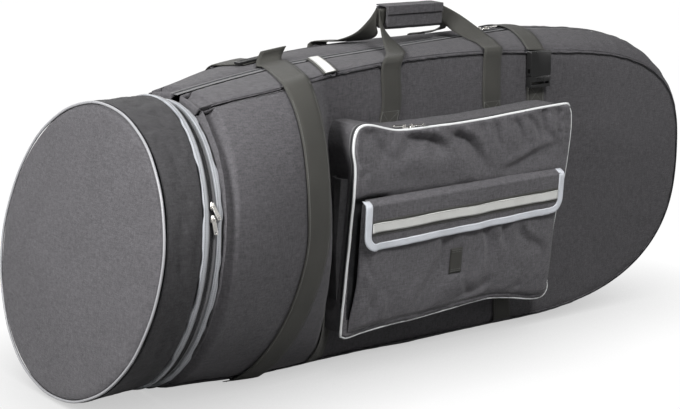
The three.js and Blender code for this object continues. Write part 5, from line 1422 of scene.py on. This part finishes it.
class GIGBAG_OT_shoulder_straps(bpy.types.Operator):
    """Two padded shoulder straps with webbing and plates on the rear"""
    bl_idname = "gigbag.shoulder_straps"
    bl_label = "Shoulder straps"

    def execute(self, context):
        for name in ("upper", "lower"):
            pad = soft_piece(f"shoulder_pad_{name}", f"shoulder_strap_{name}", (dark_nylon(),), 2.6 * MM, 3,
                             self.creases)
            fit(pad, SHELL, f"shoulder_strap_{name}", "nylon_dark")
            node = f"shoulder_webbing_{name}"
            strap(f"shoulder_web_{name}", node, cross_box(26, 32, 7), sway=0)
            rigid_piece(f"shoulder_lock_{name}", black_plastic(), SHELL, 0.6 * MM, "buckle_plastic")
        return {"FINISHED"}

    def creases(self, points, normals, away):
        return smooth(away, 0, 10 * MM) * (1.1 * MM * wave(points, 34 * MM, 3.3, (0.6, 1, 1.6)))


# Front pocket, in its own millimetres: x to the right, out to the viewer, z up

FLAP_OUT = 13.6             # back of the flap before the pocket's front
FLAP_SHEET = 2.4
FLAP_LEFT, FLAP_RIGHT, FLAP_CORNER = 22, 457, 26
BIND_WIDTH = 12


def pocket_outline(count=420):
    """The piping's middle line as x and z, taken from the pocket front's own outline."""
    bm = bmesh.new()
    bm.from_mesh(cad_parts["pocket_front"].data)
    bmesh.ops.remove_doubles(bm, verts=bm.verts, dist=SAME_POINT)
    bmesh.ops.dissolve_limit(bm, angle_limit=0.01, verts=bm.verts, edges=bm.edges)
    face = max(bm.faces, key=lambda f: f.calc_area() * f.normal.dot(Vector(POCKET.out)))
    x, _, z = POCKET.local([v.co for v in face.verts])
    bm.free()
    line = np.stack([x, z], axis=1)
    area = (line[:, 0] * np.roll(line[:, 1], -1) - np.roll(line[:, 0], -1) * line[:, 1]).sum()
    if area < 0:
        line = line[::-1]
    return inset(curve_through(line, count, closed=True), -2.7)


def inset(line, by):
    """A closed line moved inwards by millimetres."""
    run = np.roll(line, -1, axis=0) - np.roll(line, 1, axis=0)
    run /= np.linalg.norm(run, axis=1, keepdims=True)
    return line + by * np.stack([-run[:, 1], run[:, 0]], axis=1)


def flap_edge(low, x):
    share = (x - FLAP_LEFT) / (FLAP_RIGHT - FLAP_LEFT)
    return mix(149.0, 169.0, share) if low else mix(234.0, 247.0, share)


def flap_low(x, by):
    """Height of the flap's lower edge, rounded at both corners."""
    side = np.minimum(x - FLAP_LEFT, FLAP_RIGHT - x) - by
    r = FLAP_CORNER - by
    rounding = np.where(side >= r, 0, r - np.sqrt(np.maximum(0, r * r - (r - side) ** 2)))
    return flap_edge(True, x) + by + rounding


def flap_out(x, z):
    """How far the flap's front stands before the pocket: it hangs from its top seam in soft ripples."""
    drop = np.clip((flap_edge(False, x) - z) / 80, 0, 1)
    ripples = 0.9 * np.sin(x / 17 + 1.3 * np.sin(x / 49)) + 0.7 * np.sin(x / 41 + 2)
    ripples = ripples + 0.5 * np.sin(x / 9.5 + z / 30)
    creases = (1 - abs(np.sin(x / 27 + 1.2 * np.sin(x / 71) + z / 160))) ** 3
    sag = 1.4 + 0.85 * ripples + 2.4 * creases * (0.5 + 0.5 * np.sin(x / 90 + 2))
    seam = smooth(drop, 0, 0.1)
    return mix(0.6, FLAP_OUT, seam) + FLAP_SHEET + drop ** 0.7 * sag * 1.25


POUCH_LEFT, POUCH_RIGHT, POUCH_TOP = 24, 458, 228
POUCH_MARGIN = 9            # from the pouch's lower edge to the middle of the piping
PATCH_LEFT, PATCH_RIGHT, PATCH_LOW, PATCH_HIGH = 212, 238, 86, 130
PATCH_SEAT = 10.2           # the pouch is calm at this height under the loop patch


def pouch_left(z):
    """The pouch's left edge leans towards the pocket's lower corner."""
    return POUCH_LEFT - 12 * (1 - smooth(z, 10, 100))


def pouch_low(x, rim):
    """Height of the pouch's lower edge, a little above the piping."""
    lower = rim[rim[:, 1] < 60]
    lower = lower[np.argsort(lower[:, 0])]
    return np.interp(x, lower[:, 0], lower[:, 1]) + POUCH_MARGIN


def pouch_out(x, z, low, roll=14.0, depth=9.0):
    """How far the pouch's cloth stands before the pocket's front."""
    side = np.clip(np.minimum(x - pouch_left(z), POUCH_RIGHT - x) / roll, 0, 1)
    rise = np.clip((z - low) / (3 * roll), 0, 1)
    return 0.3 + depth * np.sqrt(side) * np.sqrt(rise)


POCKET_FOLDS = (            # from x, z to x, z, depth and half width, in millimetres
    (112, 336, 215, 288, 11.0, 16), (207, 330, 300, 262, 11.0, 16), (296, 338, 322, 296, 4.0, 9),
    (345, 342, 378, 292, 5.0, 9), (376, 348, 408, 296, 5.5, 9), (404, 353, 446, 288, 6.5, 11),
    (441, 354, 458, 276, 4.5, 8), (7, 347, 95, 296, 4.5, 16), (325, 262, 475, 284, 6.0, 15))
POUCH_FOLDS = (
    (198, 160, 152, 24, 8.0, -17), (279, 170, 305, 78, 8.0, -11), (308, 62, 220, 12, 7.0, 12),
    (326, 170, 337, 108, 5.5, -9), (28, 22, 64, 84, 5.0, 11), (388, 38, 334, 6, 4.5, 10),
    (252, 72, 262, 22, 4.5, -9), (368, 156, 436, 84, 5.5, 15), (90, 20, 70, 96, 3.0, 12))


def creased(x, z, folds):
    """Height of folds over the cloth, each a furrow between two low swells, steep on one side.

    A negative width puts the steep side on the right of the fold's run.
    """
    height = 0 * x
    for x0, z0, x1, z1, depth, width in folds:
        reach = math.hypot(x1 - x0, z1 - z0)
        along = ((x - x0) * (x1 - x0) + (z - z0) * (z1 - z0)) / reach ** 2
        aside = ((x - x0) * (z1 - z0) - (z - z0) * (x1 - x0)) / reach / width + 0.5 * np.sin(along * 5 + x0)
        aside = np.where(aside < 0, aside * 2.1, aside * 0.75)
        shape = 0.4 * np.exp(-((abs(aside) - 1.8) ** 2)) - np.exp(-abs(aside) ** 1.5)
        height = height + depth * shape * smooth(along, -0.12, 0.15) * (1 - smooth(along, 0.5, 1.1))
    return height


NYLON_CLOTH = {"quality": 7, "mass": 0.12, "tension_stiffness": 12, "compression_stiffness": 12,
               "shear_stiffness": 4, "bending_stiffness": 0.12}
SLIDE_LIMIT = 2.5 * MM      # how far the settling cloth may slide sideways


def settle(piece, held, growth, lowest, highest, frames=26, pressure=0.6):
    """Lets cloth that is cut a little large settle between its held edges, and caps how far it moves out."""
    start = coordinates(piece.data)
    if not settings().simulate:
        flat = wave(start, 42 * MM, 2.4) * 1.6 + wave(start, 15 * MM, 5.9) * 0.5
        away = distances(search_tree(start[held]), start)
        moved = flat * smooth(away, 0, 30 * MM) * MM
        set_coordinates(piece.data, start + np.clip(moved, lowest, highest)[:, None] * POCKET.out)
        return
    scene = bpy.context.scene
    group = piece.vertex_groups.new(name="held")
    group.add([int(i) for i in np.nonzero(held)[0]], 1.0, "REPLACE")
    cloth = piece.modifiers.new("settling", "CLOTH")
    for key, value in NYLON_CLOTH.items():
        setattr(cloth.settings, key, value)
    cloth.settings.shrink_min = -growth
    cloth.settings.vertex_group_mass = "held"
    cloth.settings.use_pressure = True
    cloth.settings.uniform_pressure_force = pressure
    cloth.settings.effector_weights.gravity = 0.35
    cloth.collision_settings.use_collision = False
    cloth.collision_settings.use_self_collision = False
    cloth.point_cache.frame_start = 1
    cloth.point_cache.frame_end = frames
    for number in range(1, frames + 1):
        scene.frame_set(number)
    graph = bpy.context.evaluated_depsgraph_get()
    settled = coordinates(piece.evaluated_get(graph).data)
    piece.modifiers.remove(cloth)
    piece.vertex_groups.remove(group)
    scene.frame_set(1)
    moved = (settled - start)
    out = moved @ POCKET.out
    flat = moved - out[:, None] * POCKET.out
    reach = np.linalg.norm(flat, axis=1, keepdims=True)
    flat *= np.minimum(1, SLIDE_LIMIT / np.maximum(reach, 1e-9))
    set_coordinates(piece.data, start + flat + np.clip(out, lowest, highest)[:, None] * POCKET.out)


def flat_sheet(name, outline, spacing, material, depth=0.0):
    """A flat sheet of even triangles inside a closed outline of the pocket's plane."""
    ring = [Vector(p) for p in outline]
    count = len(ring)
    low, high = outline.min(axis=0), outline.max(axis=0)
    inner = []
    rows = int((high[1] - low[1]) / (spacing * 0.866))
    for i in range(rows):
        for j in range(int((high[0] - low[0]) / spacing) + 1):
            x = low[0] + spacing * (j + 0.5 * (i % 2))
            z = low[1] + spacing * 0.866 * (i + 0.5)
            inner.append((x, z))
    inner = np.array(inner)
    nxt = np.roll(outline, -1, axis=0)
    inside = np.zeros(len(inner), bool)
    for a, b in zip(outline, nxt):
        crosses = (a[1] > inner[:, 1]) != (b[1] > inner[:, 1])
        if abs(b[1] - a[1]) > 1e-9:
            at = (b[0] - a[0]) * (inner[:, 1] - a[1]) / (b[1] - a[1]) + a[0]
            inside ^= crosses & (inner[:, 0] < at)
    gap = np.array([np.min(np.hypot(*(outline - p).T)) for p in inner])
    inner = inner[inside & (gap > spacing * 0.55)]
    ring += [Vector(p) for p in inner]
    verts, _, faces, *_ = delaunay_2d_cdt(ring, [], [list(range(count))], 1, 1e-5)
    points = np.array([tuple(v) for v in verts])
    place = POCKET.world(points[:, 0], np.full(len(points), depth), points[:, 1])
    mesh = mesh_of(name, place, [tuple(f) for f in faces])
    held = np.zeros(len(points), bool)
    held[:count] = True
    face_forwards(mesh, 0)
    return new_object(name, mesh, material), held


def face_forwards(mesh, index):
    """Turns a sheet of the pocket round if the face of that index looks into the bag."""
    if np.array(mesh.polygons[index].normal) @ POCKET.out < 0:
        mesh.flip_normals()


def thickened(piece, thickness):
    modifier = piece.modifiers.new("cloth", "SOLIDIFY")
    modifier.thickness = thickness
    modifier.offset = 0
    return applied(piece)


CORD_OUT = -2.7             # middle of the piping before the pocket's front
FOLD_LEFT, FOLD_RIGHT = 16, 438
FOLD_BACK, FOLD_FRONT = -12.0, -4.0
HOLLOW_DEPTH = 12           # of the shaded hollow beside the pouch's left edge
PIPING_DROP = 0.5           # keeps the top run of the cord clear of the sliding pull


class GIGBAG_OT_pocket(bpy.types.Operator):
    """Front pocket: cloth, white piping, gusset, zip and sliders"""
    bl_idname = "gigbag.pocket"
    bl_label = "Front pocket"

    def execute(self, context):
        sizes = settings()
        rim = pocket_outline()
        self.front(rim)
        height = rim[:, 1] - PIPING_DROP * smooth(rim[:, 1], 200, 300)
        cord = POCKET.world(rim[:, 0], CORD_OUT + 0.3 * np.sin(np.arange(len(rim)) * 0.31), height)
        piping = tube("white_piping", cord, sizes.pocket.cord, white_vinyl(), outward=POCKET.out)
        fit(piping, POCKET_BODY, "pocket_piping", "piping_white")
        self.gusset()
        self.fold(rim)
        self.zip()
        hardware("pocket_left", "pocket_right")
        return {"FINISHED"}

    def front(self, rim):
        sizes = settings().pocket
        edge = inset(rim, 1.2)
        piece, held = flat_sheet("pocket_cloth", edge[::2], 5.0, pocket_nylon(), -1.3)
        settle(piece, held, 0.02 * sizes.folds, -4 * MM, 4 * MM)
        co = coordinates(piece.data)
        x, out, z = POCKET.local(co)
        cover = within(x, 14, 28, 448, 462) * within(z, 20, 34, 234, 252)
        limit = mix(6.0, -1.5, cover)
        nearest = np.array([np.argmin(np.hypot(*(edge - p).T)) for p in np.stack([x, z], axis=1)])
        gap = np.hypot(*(edge[nearest] - np.stack([x, z], axis=1)).T)
        run = nearest * np.linalg.norm(np.diff(edge, axis=0), axis=1).mean()
        gathers = wave(np.stack([run, 0 * run, 0 * run], axis=1), 14.0, 3.7)
        corner = 0.4 + 0.8 * smooth(x, 240, 420) * smooth(z, 230, 330)
        pucker = 4.2 * gathers * corner * np.exp(-gap / 17) * smooth(gap, 0, 5)
        folded = np.minimum(out + (creased(x, z, POCKET_FOLDS) + pucker) * sizes.folds, limit)
        hollow = within(x, 5, 13, 60, 90) * within(z, 12, 50, 226, 244)
        folded -= HOLLOW_DEPTH * hollow
        co += (folded - out)[:, None] * MM * POCKET.out
        set_coordinates(piece.data, co)
        mesh = piece.data
        # Painted shade: the faces of the hollow beside the pouch's left edge get the dark lining material, a
        # dark sheet where there is only shade.
        mesh.materials.append(lining())
        painted_shade = [hollow[list(p.vertices)].mean() > 0.35 for p in mesh.polygons]
        mesh.polygons.foreach_set("material_index", np.array(painted_shade, np.int32))
        thickened(piece, sizes.cloth)
        fit(piece, POCKET_BODY, "pocket_front", "nylon_charcoal")

    def gusset(self):
        def gathers(points, normals, away):
            upper = smooth(POCKET.local(points)[2], 250, 350)
            puckers = wave(points, 10 * MM, 2.2, (1, 6, 1))
            slow = wave(points, 30 * MM, 7.2, (1, 3, 1))
            return (0.8 * MM * puckers * (0.4 + 0.6 * upper) + 1.2 * MM * slow) * smooth(away, 0, 4 * MM)

        piece = soft_piece("pocket_gusset_cloth", "pocket_gusset", (nylon(), lining()), 0.5 * MM, 2, gathers)
        co = coordinates(piece.data)
        depth = smooth(-POCKET.local(co)[1], 30, 50)
        co[:, 1] += depth * 3.6 * MM
        set_coordinates(piece.data, co)
        fit(piece, SHELL, "pocket_gusset", "nylon_charcoal")

    def fold(self, rim):
        """Cloth along the lower edge, from the gusset to the front."""
        low = rim[(rim[:, 1] < 60) & (rim[:, 0] > FOLD_LEFT) & (rim[:, 0] < FOLD_RIGHT)]
        low = low[np.argsort(low[:, 0])]
        x = np.linspace(FOLD_LEFT, FOLD_RIGHT, 80)
        line = np.interp(x, low[:, 0], low[:, 1])
        out = np.concatenate([np.linspace(FOLD_BACK, FOLD_FRONT, 13), [FOLD_FRONT + 0.5, FOLD_FRONT + 0.8]])
        rise = np.concatenate([np.linspace(3.6, 4.9, 13), [7.5, 12.0]])
        waves = 0.35 * np.sin(x[:, None] / 9 + out[None, :] / 3)
        grid = POCKET.world(x[:, None], out, line[:, None] + rise + waves)
        normal = grid_normals(grid)[1]
        normal *= np.sign((normal @ POCKET.up).mean())
        piece = closed_strip("pocket_fold_cloth", grid + normal * 0.5 * MM, grid - normal * 0.5 * MM, nylon())
        start, end = (tuple(POCKET.world(233.0, v, 10.0)) for v in (FOLD_BACK, FOLD_FRONT))
        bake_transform(piece)
        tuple(start)
        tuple(end)

    def zip(self):
        grid = middle_grid("pocket_zip", 2, 4 * MM, 7)
        normal = grid_normals(grid)[1]
        centre = POCKET.world(233, -11, 180)
        if ((grid - centre) * normal).sum() < 0:
            normal = -normal
        tape = closed_strip("pocket_zip_tape", grid + normal * 0.6 * MM, grid - normal * 0.8 * MM,
                            zip_cloth())
        fit(tape, SHELL, "pocket_zip", "zip_tape")
        line = grid[:, 3] + normal[:, 3] * 1.0 * MM
        side = grid[:, 6] - grid[:, 0]
        side /= np.linalg.norm(side, axis=1, keepdims=True)
        seeds = coil_seeds(line, normal[:, 3], side, settings().zips.pitch, apart=0.8 * MM)
        fit(sown("pocket_zip_coil", seeds, 3.6 * MM, 0.6 * MM, coil_nylon()), SHELL)
        rows = []
        for j in (1, 5):
            rows += stitch_seeds(grid[:, j] + normal[:, j] * 0.7 * MM, normal[:, j])
        sew("pocket_zip_stitches", rows, SHELL)


class GIGBAG_OT_pouch(bpy.types.Operator):
    """Pouch on the pocket's front, with its loop patch"""
    bl_idname = "gigbag.pouch"
    bl_label = "Pouch"

    def execute(self, context):
        sizes = settings()
        rim = pocket_outline()
        share = np.linspace(0, 1, 76)
        share = share - 0.035 * np.sin(2 * math.pi * share)
        rise = np.linspace(0, 1, 38) ** 1.15
        low = pouch_low(mix(POUCH_LEFT, POUCH_RIGHT, share), rim)[:, None]
        z = mix(low, POUCH_TOP, rise[None, :])
        x = mix(pouch_left(z), POUCH_RIGHT, share[:, None])
        points = POCKET.world(x, pouch_out(x, z, low) + 1.0, z)
        rows, columns = x.shape
        faces = [(i * columns + j, (i + 1) * columns + j, (i + 1) * columns + j + 1, i * columns + j + 1)
                 for i in range(rows - 1) for j in range(columns - 1)]
        mesh = mesh_of("pouch_cloth", points.reshape(-1, 3), faces)
        piece = new_object("pouch_cloth", mesh, pocket_nylon())
        face_forwards(mesh, len(faces) // 2)
        held = np.zeros((rows, columns), bool)
        held[:2] = held[-2:] = True
        held[:, :2] = held[:, -1] = True
        settle(piece, held.ravel(), 0.018 * sizes.pocket.folds, -2.2 * MM, 1.1 * MM)
        co = coordinates(piece.data)
        x, out, z = POCKET.local(co)
        inner = within(x, 26, 44, 436, 452) * smooth(z - pouch_low(x, rim), 3, 16)
        folded = out + creased(x, z, POUCH_FOLDS) * inner * sizes.pocket.folds
        patch = within(x, PATCH_LEFT - 8, PATCH_LEFT, PATCH_RIGHT, PATCH_RIGHT + 8)
        patch *= within(z, PATCH_LOW - 10, PATCH_LOW, PATCH_HIGH, PATCH_HIGH + 10)
        folded = mix(folded, PATCH_SEAT, patch)
        co += (folded - out)[:, None] * MM * POCKET.out
        set_coordinates(piece.data, co)
        subdivision = piece.modifiers.new("rounding", "SUBSURF")
        subdivision.levels = subdivision.render_levels = 1
        applied(piece)
        thickened(piece, 1.8 * MM)
        fit(piece, POCKET_BODY, "pouch", "nylon_charcoal")
        self.border(rim)
        self.patch()
        return {"FINISHED"}

    def border(self, rim):
        """A row of stitches round the pouch's sewn edge."""
        x = np.linspace(POUCH_LEFT - 8, POUCH_RIGHT - 3, 160)
        z = pouch_low(x, rim) + 3
        rising = np.linspace(z[-1], POUCH_TOP - 2, 60)[1:]
        x, z = np.concatenate([x, np.full(59, x[-1])]), np.concatenate([z, rising])
        points = POCKET.world(x, pouch_out(x, z, pouch_low(x, rim)) + 2.0, z)
        sew("pouch_stitches", stitch_seeds(points, np.tile(POCKET.out, (len(points), 1))), POCKET_BODY)

    def patch(self):
        z = np.linspace(PATCH_LOW, PATCH_HIGH, 14)
        x = np.linspace(PATCH_LEFT, PATCH_RIGHT, 7)
        bow = 0.5 * np.sin((z - PATCH_LOW) / (PATCH_HIGH - PATCH_LOW) * math.pi)
        grid = np.stack([POCKET.world(x, np.full(7, 12.3 + b), np.full(7, v)) for v, b in zip(z, bow)])
        piece = web_strip("loop_patch_webbing", grid, strap_web(), 1.4 * MM)
        fit(piece, POCKET_BODY, "loop_patch", "webbing")
        lines = [[(row, 0.5), (row, 5.5)] for row in (1, 2, 11, 12)]
        sew("loop_patch_stitches", sewn_lines(grid, lines, 0.8 * MM), POCKET_BODY)


FLAP_HINGE_ROWS = 3         # rows of the binding next to the hinge that bear no stitches
STRIP_LEFT, STRIP_RIGHT = 35.2, 443.8
STRIP_MIDDLES = 188.0, 202.0        # heights of the strips' middle line at their left and right ends
WEBBING_HEIGHT, REFLECTOR_HEIGHT = 25, 16


class GIGBAG_OT_flap(bpy.types.Operator):
    """Flap over the pouch: cloth, pale binding, dark webbing and reflective strip"""
    bl_idname = "gigbag.flap"
    bl_label = "Pouch flap"

    def execute(self, context):
        self.cloth()
        self.binding()
        self.strips()
        return {"FINISHED"}

    def surface(self, x, z, before):
        """Points of the flap's front, moved out by before."""
        return POCKET.world(x, flap_out(x, z) + before, z)

    def cloth(self):
        xs = np.concatenate([FLAP_LEFT + 6 + np.linspace(0, 1, 9)[:-1] ** 1.7 * 30,
                             np.linspace(FLAP_LEFT + 36, FLAP_RIGHT - 36, 110),
                             (FLAP_RIGHT - 6 - np.linspace(0, 1, 9)[:-1] ** 1.7 * 30)[::-1]])
        shares = np.concatenate([[0, 0.03, 0.06, 0.1], np.linspace(0.14, 1, 18)])
        rows = []
        for x in xs:
            top = flap_edge(False, x) - 0.6
            low = min(flap_low(x, 6), top - FLAP_CORNER)
            z = mix(top, low, shares)
            rows.append(self.surface(np.full(len(z), x), z, -1.1))
        grid = np.array(rows)
        piece = closed_strip("flap_cloth", grid + 0.95 * MM * POCKET.out, grid - 0.95 * MM * POCKET.out,
                             pocket_nylon())
        fit(piece, FLAP_BODY, "pouch_flap", "nylon_charcoal")

    def binding(self):
        top_left, top_right = flap_edge(False, FLAP_LEFT) - 2, flap_edge(False, FLAP_RIGHT) - 2
        turn = np.linspace(0, math.pi / 2, 12)
        insets = np.linspace(-0.4, BIND_WIDTH, 7)

        def line(by):
            r = FLAP_CORNER - by
            left_x, right_x = FLAP_LEFT + by, FLAP_RIGHT - by
            low_left, low_right = flap_edge(True, left_x) + by, flap_edge(True, right_x) + by
            path = [(left_x, v) for v in np.linspace(top_left, low_left + r, 14)[:-1]]
            path += [(left_x + r * (1 - math.cos(t)), low_left + r * (1 - math.sin(t))) for t in turn]
            path += [(x, flap_edge(True, x) + by) for x in np.linspace(left_x + r, right_x - r, 120)[1:-1]]
            path += [(right_x - r * (1 - math.cos(t)), low_right + r * (1 - math.sin(t))) for t in turn[::-1]]
            path += [(right_x, v) for v in np.linspace(low_right + r, top_right, 14)[1:]]
            return np.array(path)

        lines = [line(by) for by in insets]
        grid = np.stack([self.surface(p[:, 0], p[:, 1], 0.0) for p in lines], axis=1)
        front = np.array([0.1, 0.75, 0.8, 0.8, 0.8, 0.75, 0.35]) * MM
        back = np.array([-2.6, -2.7, -0.1, -0.1, -0.1, -0.1, -0.1]) * MM
        piece = closed_strip("flap_edge_tape", grid + front[None, :, None] * POCKET.out,
                             grid + back[None, :, None] * POCKET.out, pale_tape())
        fit(piece, FLAP_BODY, "flap_binding", "binding_pale")
        line = grid[FLAP_HINGE_ROWS:-FLAP_HINGE_ROWS, 5] + 0.85 * MM * POCKET.out
        seeds = stitch_seeds(line, np.tile(POCKET.out, (len(line), 1)))
        sew("flap_edge_stitches", seeds, FLAP_BODY, pale_thread)

    def strips(self):
        x = np.linspace(STRIP_LEFT, STRIP_RIGHT, 130)
        middle = mix(*STRIP_MIDDLES, (x - STRIP_LEFT) / (STRIP_RIGHT - STRIP_LEFT))
        for name, node, height, before, material, slot in (
                ("flap_dark_strip", "flap_webbing", WEBBING_HEIGHT, 0.45, strap_web(), "webbing"),
                ("flap_silver_strip", "flap_reflector", REFLECTOR_HEIGHT, 1.1, silver_strip(), "reflective")):
            offsets = np.linspace(-height / 2, height / 2, 7)
            wobble = 0.5 * np.sin(x / 23) if height == REFLECTOR_HEIGHT else 0 * x
            grid = np.stack([self.surface(x, middle + v + wobble, before) for v in offsets], axis=1)
            piece = closed_strip(name, grid + 0.3 * MM * POCKET.out, grid - 0.3 * MM * POCKET.out, material)
            fit(piece, FLAP_BODY, node, slot)
        rows = []
        for v in (-7, 7, -11.5, 11.5):
            line = self.surface(x, middle + v, 1.45 if abs(v) == 7 else 0.8)
            rows += stitch_seeds(line, np.tile(POCKET.out, (len(x), 1)))
        sew("flap_strip_stitches", rows, FLAP_BODY)


class GIGBAG_OT_side_pocket(bpy.types.Operator):
    """Small open pocket on the front pocket's left end"""
    bl_idname = "gigbag.side_pocket"
    bl_label = "Side pocket"

    def execute(self, context):
        def folds(points, normals, away):
            return smooth(away, 0, 8 * MM) * 1.3 * MM * wave(points, 24 * MM, 4.1, (1, 0.7, 2.4))

        piece = soft_piece("side_pocket_cloth", "side_pocket", (dark_nylon(),), 0.5 * MM, 3, folds)
        fit(piece, SHELL, "side_pocket", "nylon_dark")
        return {"FINISHED"}


# Panel, registration and the run from bare frame to finished bag

STEPS = (GIGBAG_OT_shell, GIGBAG_OT_main_zip, GIGBAG_OT_bell_zip, GIGBAG_OT_bell_cover, GIGBAG_OT_straps,
         GIGBAG_OT_handle, GIGBAG_OT_shoulder_straps, GIGBAG_OT_pocket, GIGBAG_OT_pouch, GIGBAG_OT_flap,
         GIGBAG_OT_side_pocket, GIGBAG_OT_stage)


class GIGBAG_PT_panel(bpy.types.Panel):
    """Buttons of the gig bag's pieces, in the order that builds it"""
    bl_idname = "GIGBAG_PT_panel"
    bl_label = "Gig bag"
    bl_space_type = "VIEW_3D"
    bl_region_type = "UI"
    bl_category = "Gig bag"

    def draw(self, context):
        layout = self.layout
        for step in STEPS:
            layout.operator(step.bl_idname)
        bag = context.scene.gig_bag
        layout.prop(bag, "simulate")
        for group in (bag.padding, bag.webbing, bag.zips, bag.stitches, bag.pocket, bag.colours, bag.stage):
            box = layout.box()
            for name in group.__annotations__:
                box.prop(group, name)


CLASSES = (PaddingSizes, WebbingSizes, ZipSizes, StitchSizes, PocketSizes, ClothColours, StageSizes,
           GigBagSettings) + STEPS + (GIGBAG_PT_panel,)


def register():
    for item in CLASSES:
        bpy.utils.register_class(item)
    bpy.types.Scene.gig_bag = PointerProperty(type=GigBagSettings)


def unregister():
    del bpy.types.Scene.gig_bag
    for item in reversed(CLASSES):
        bpy.utils.unregister_class(item)


def main():
    register()
    for step in STEPS:
        family, name = step.bl_idname.split(".")
        getattr(getattr(bpy.ops, family), name)()


if __name__ == "__main__":
    main()
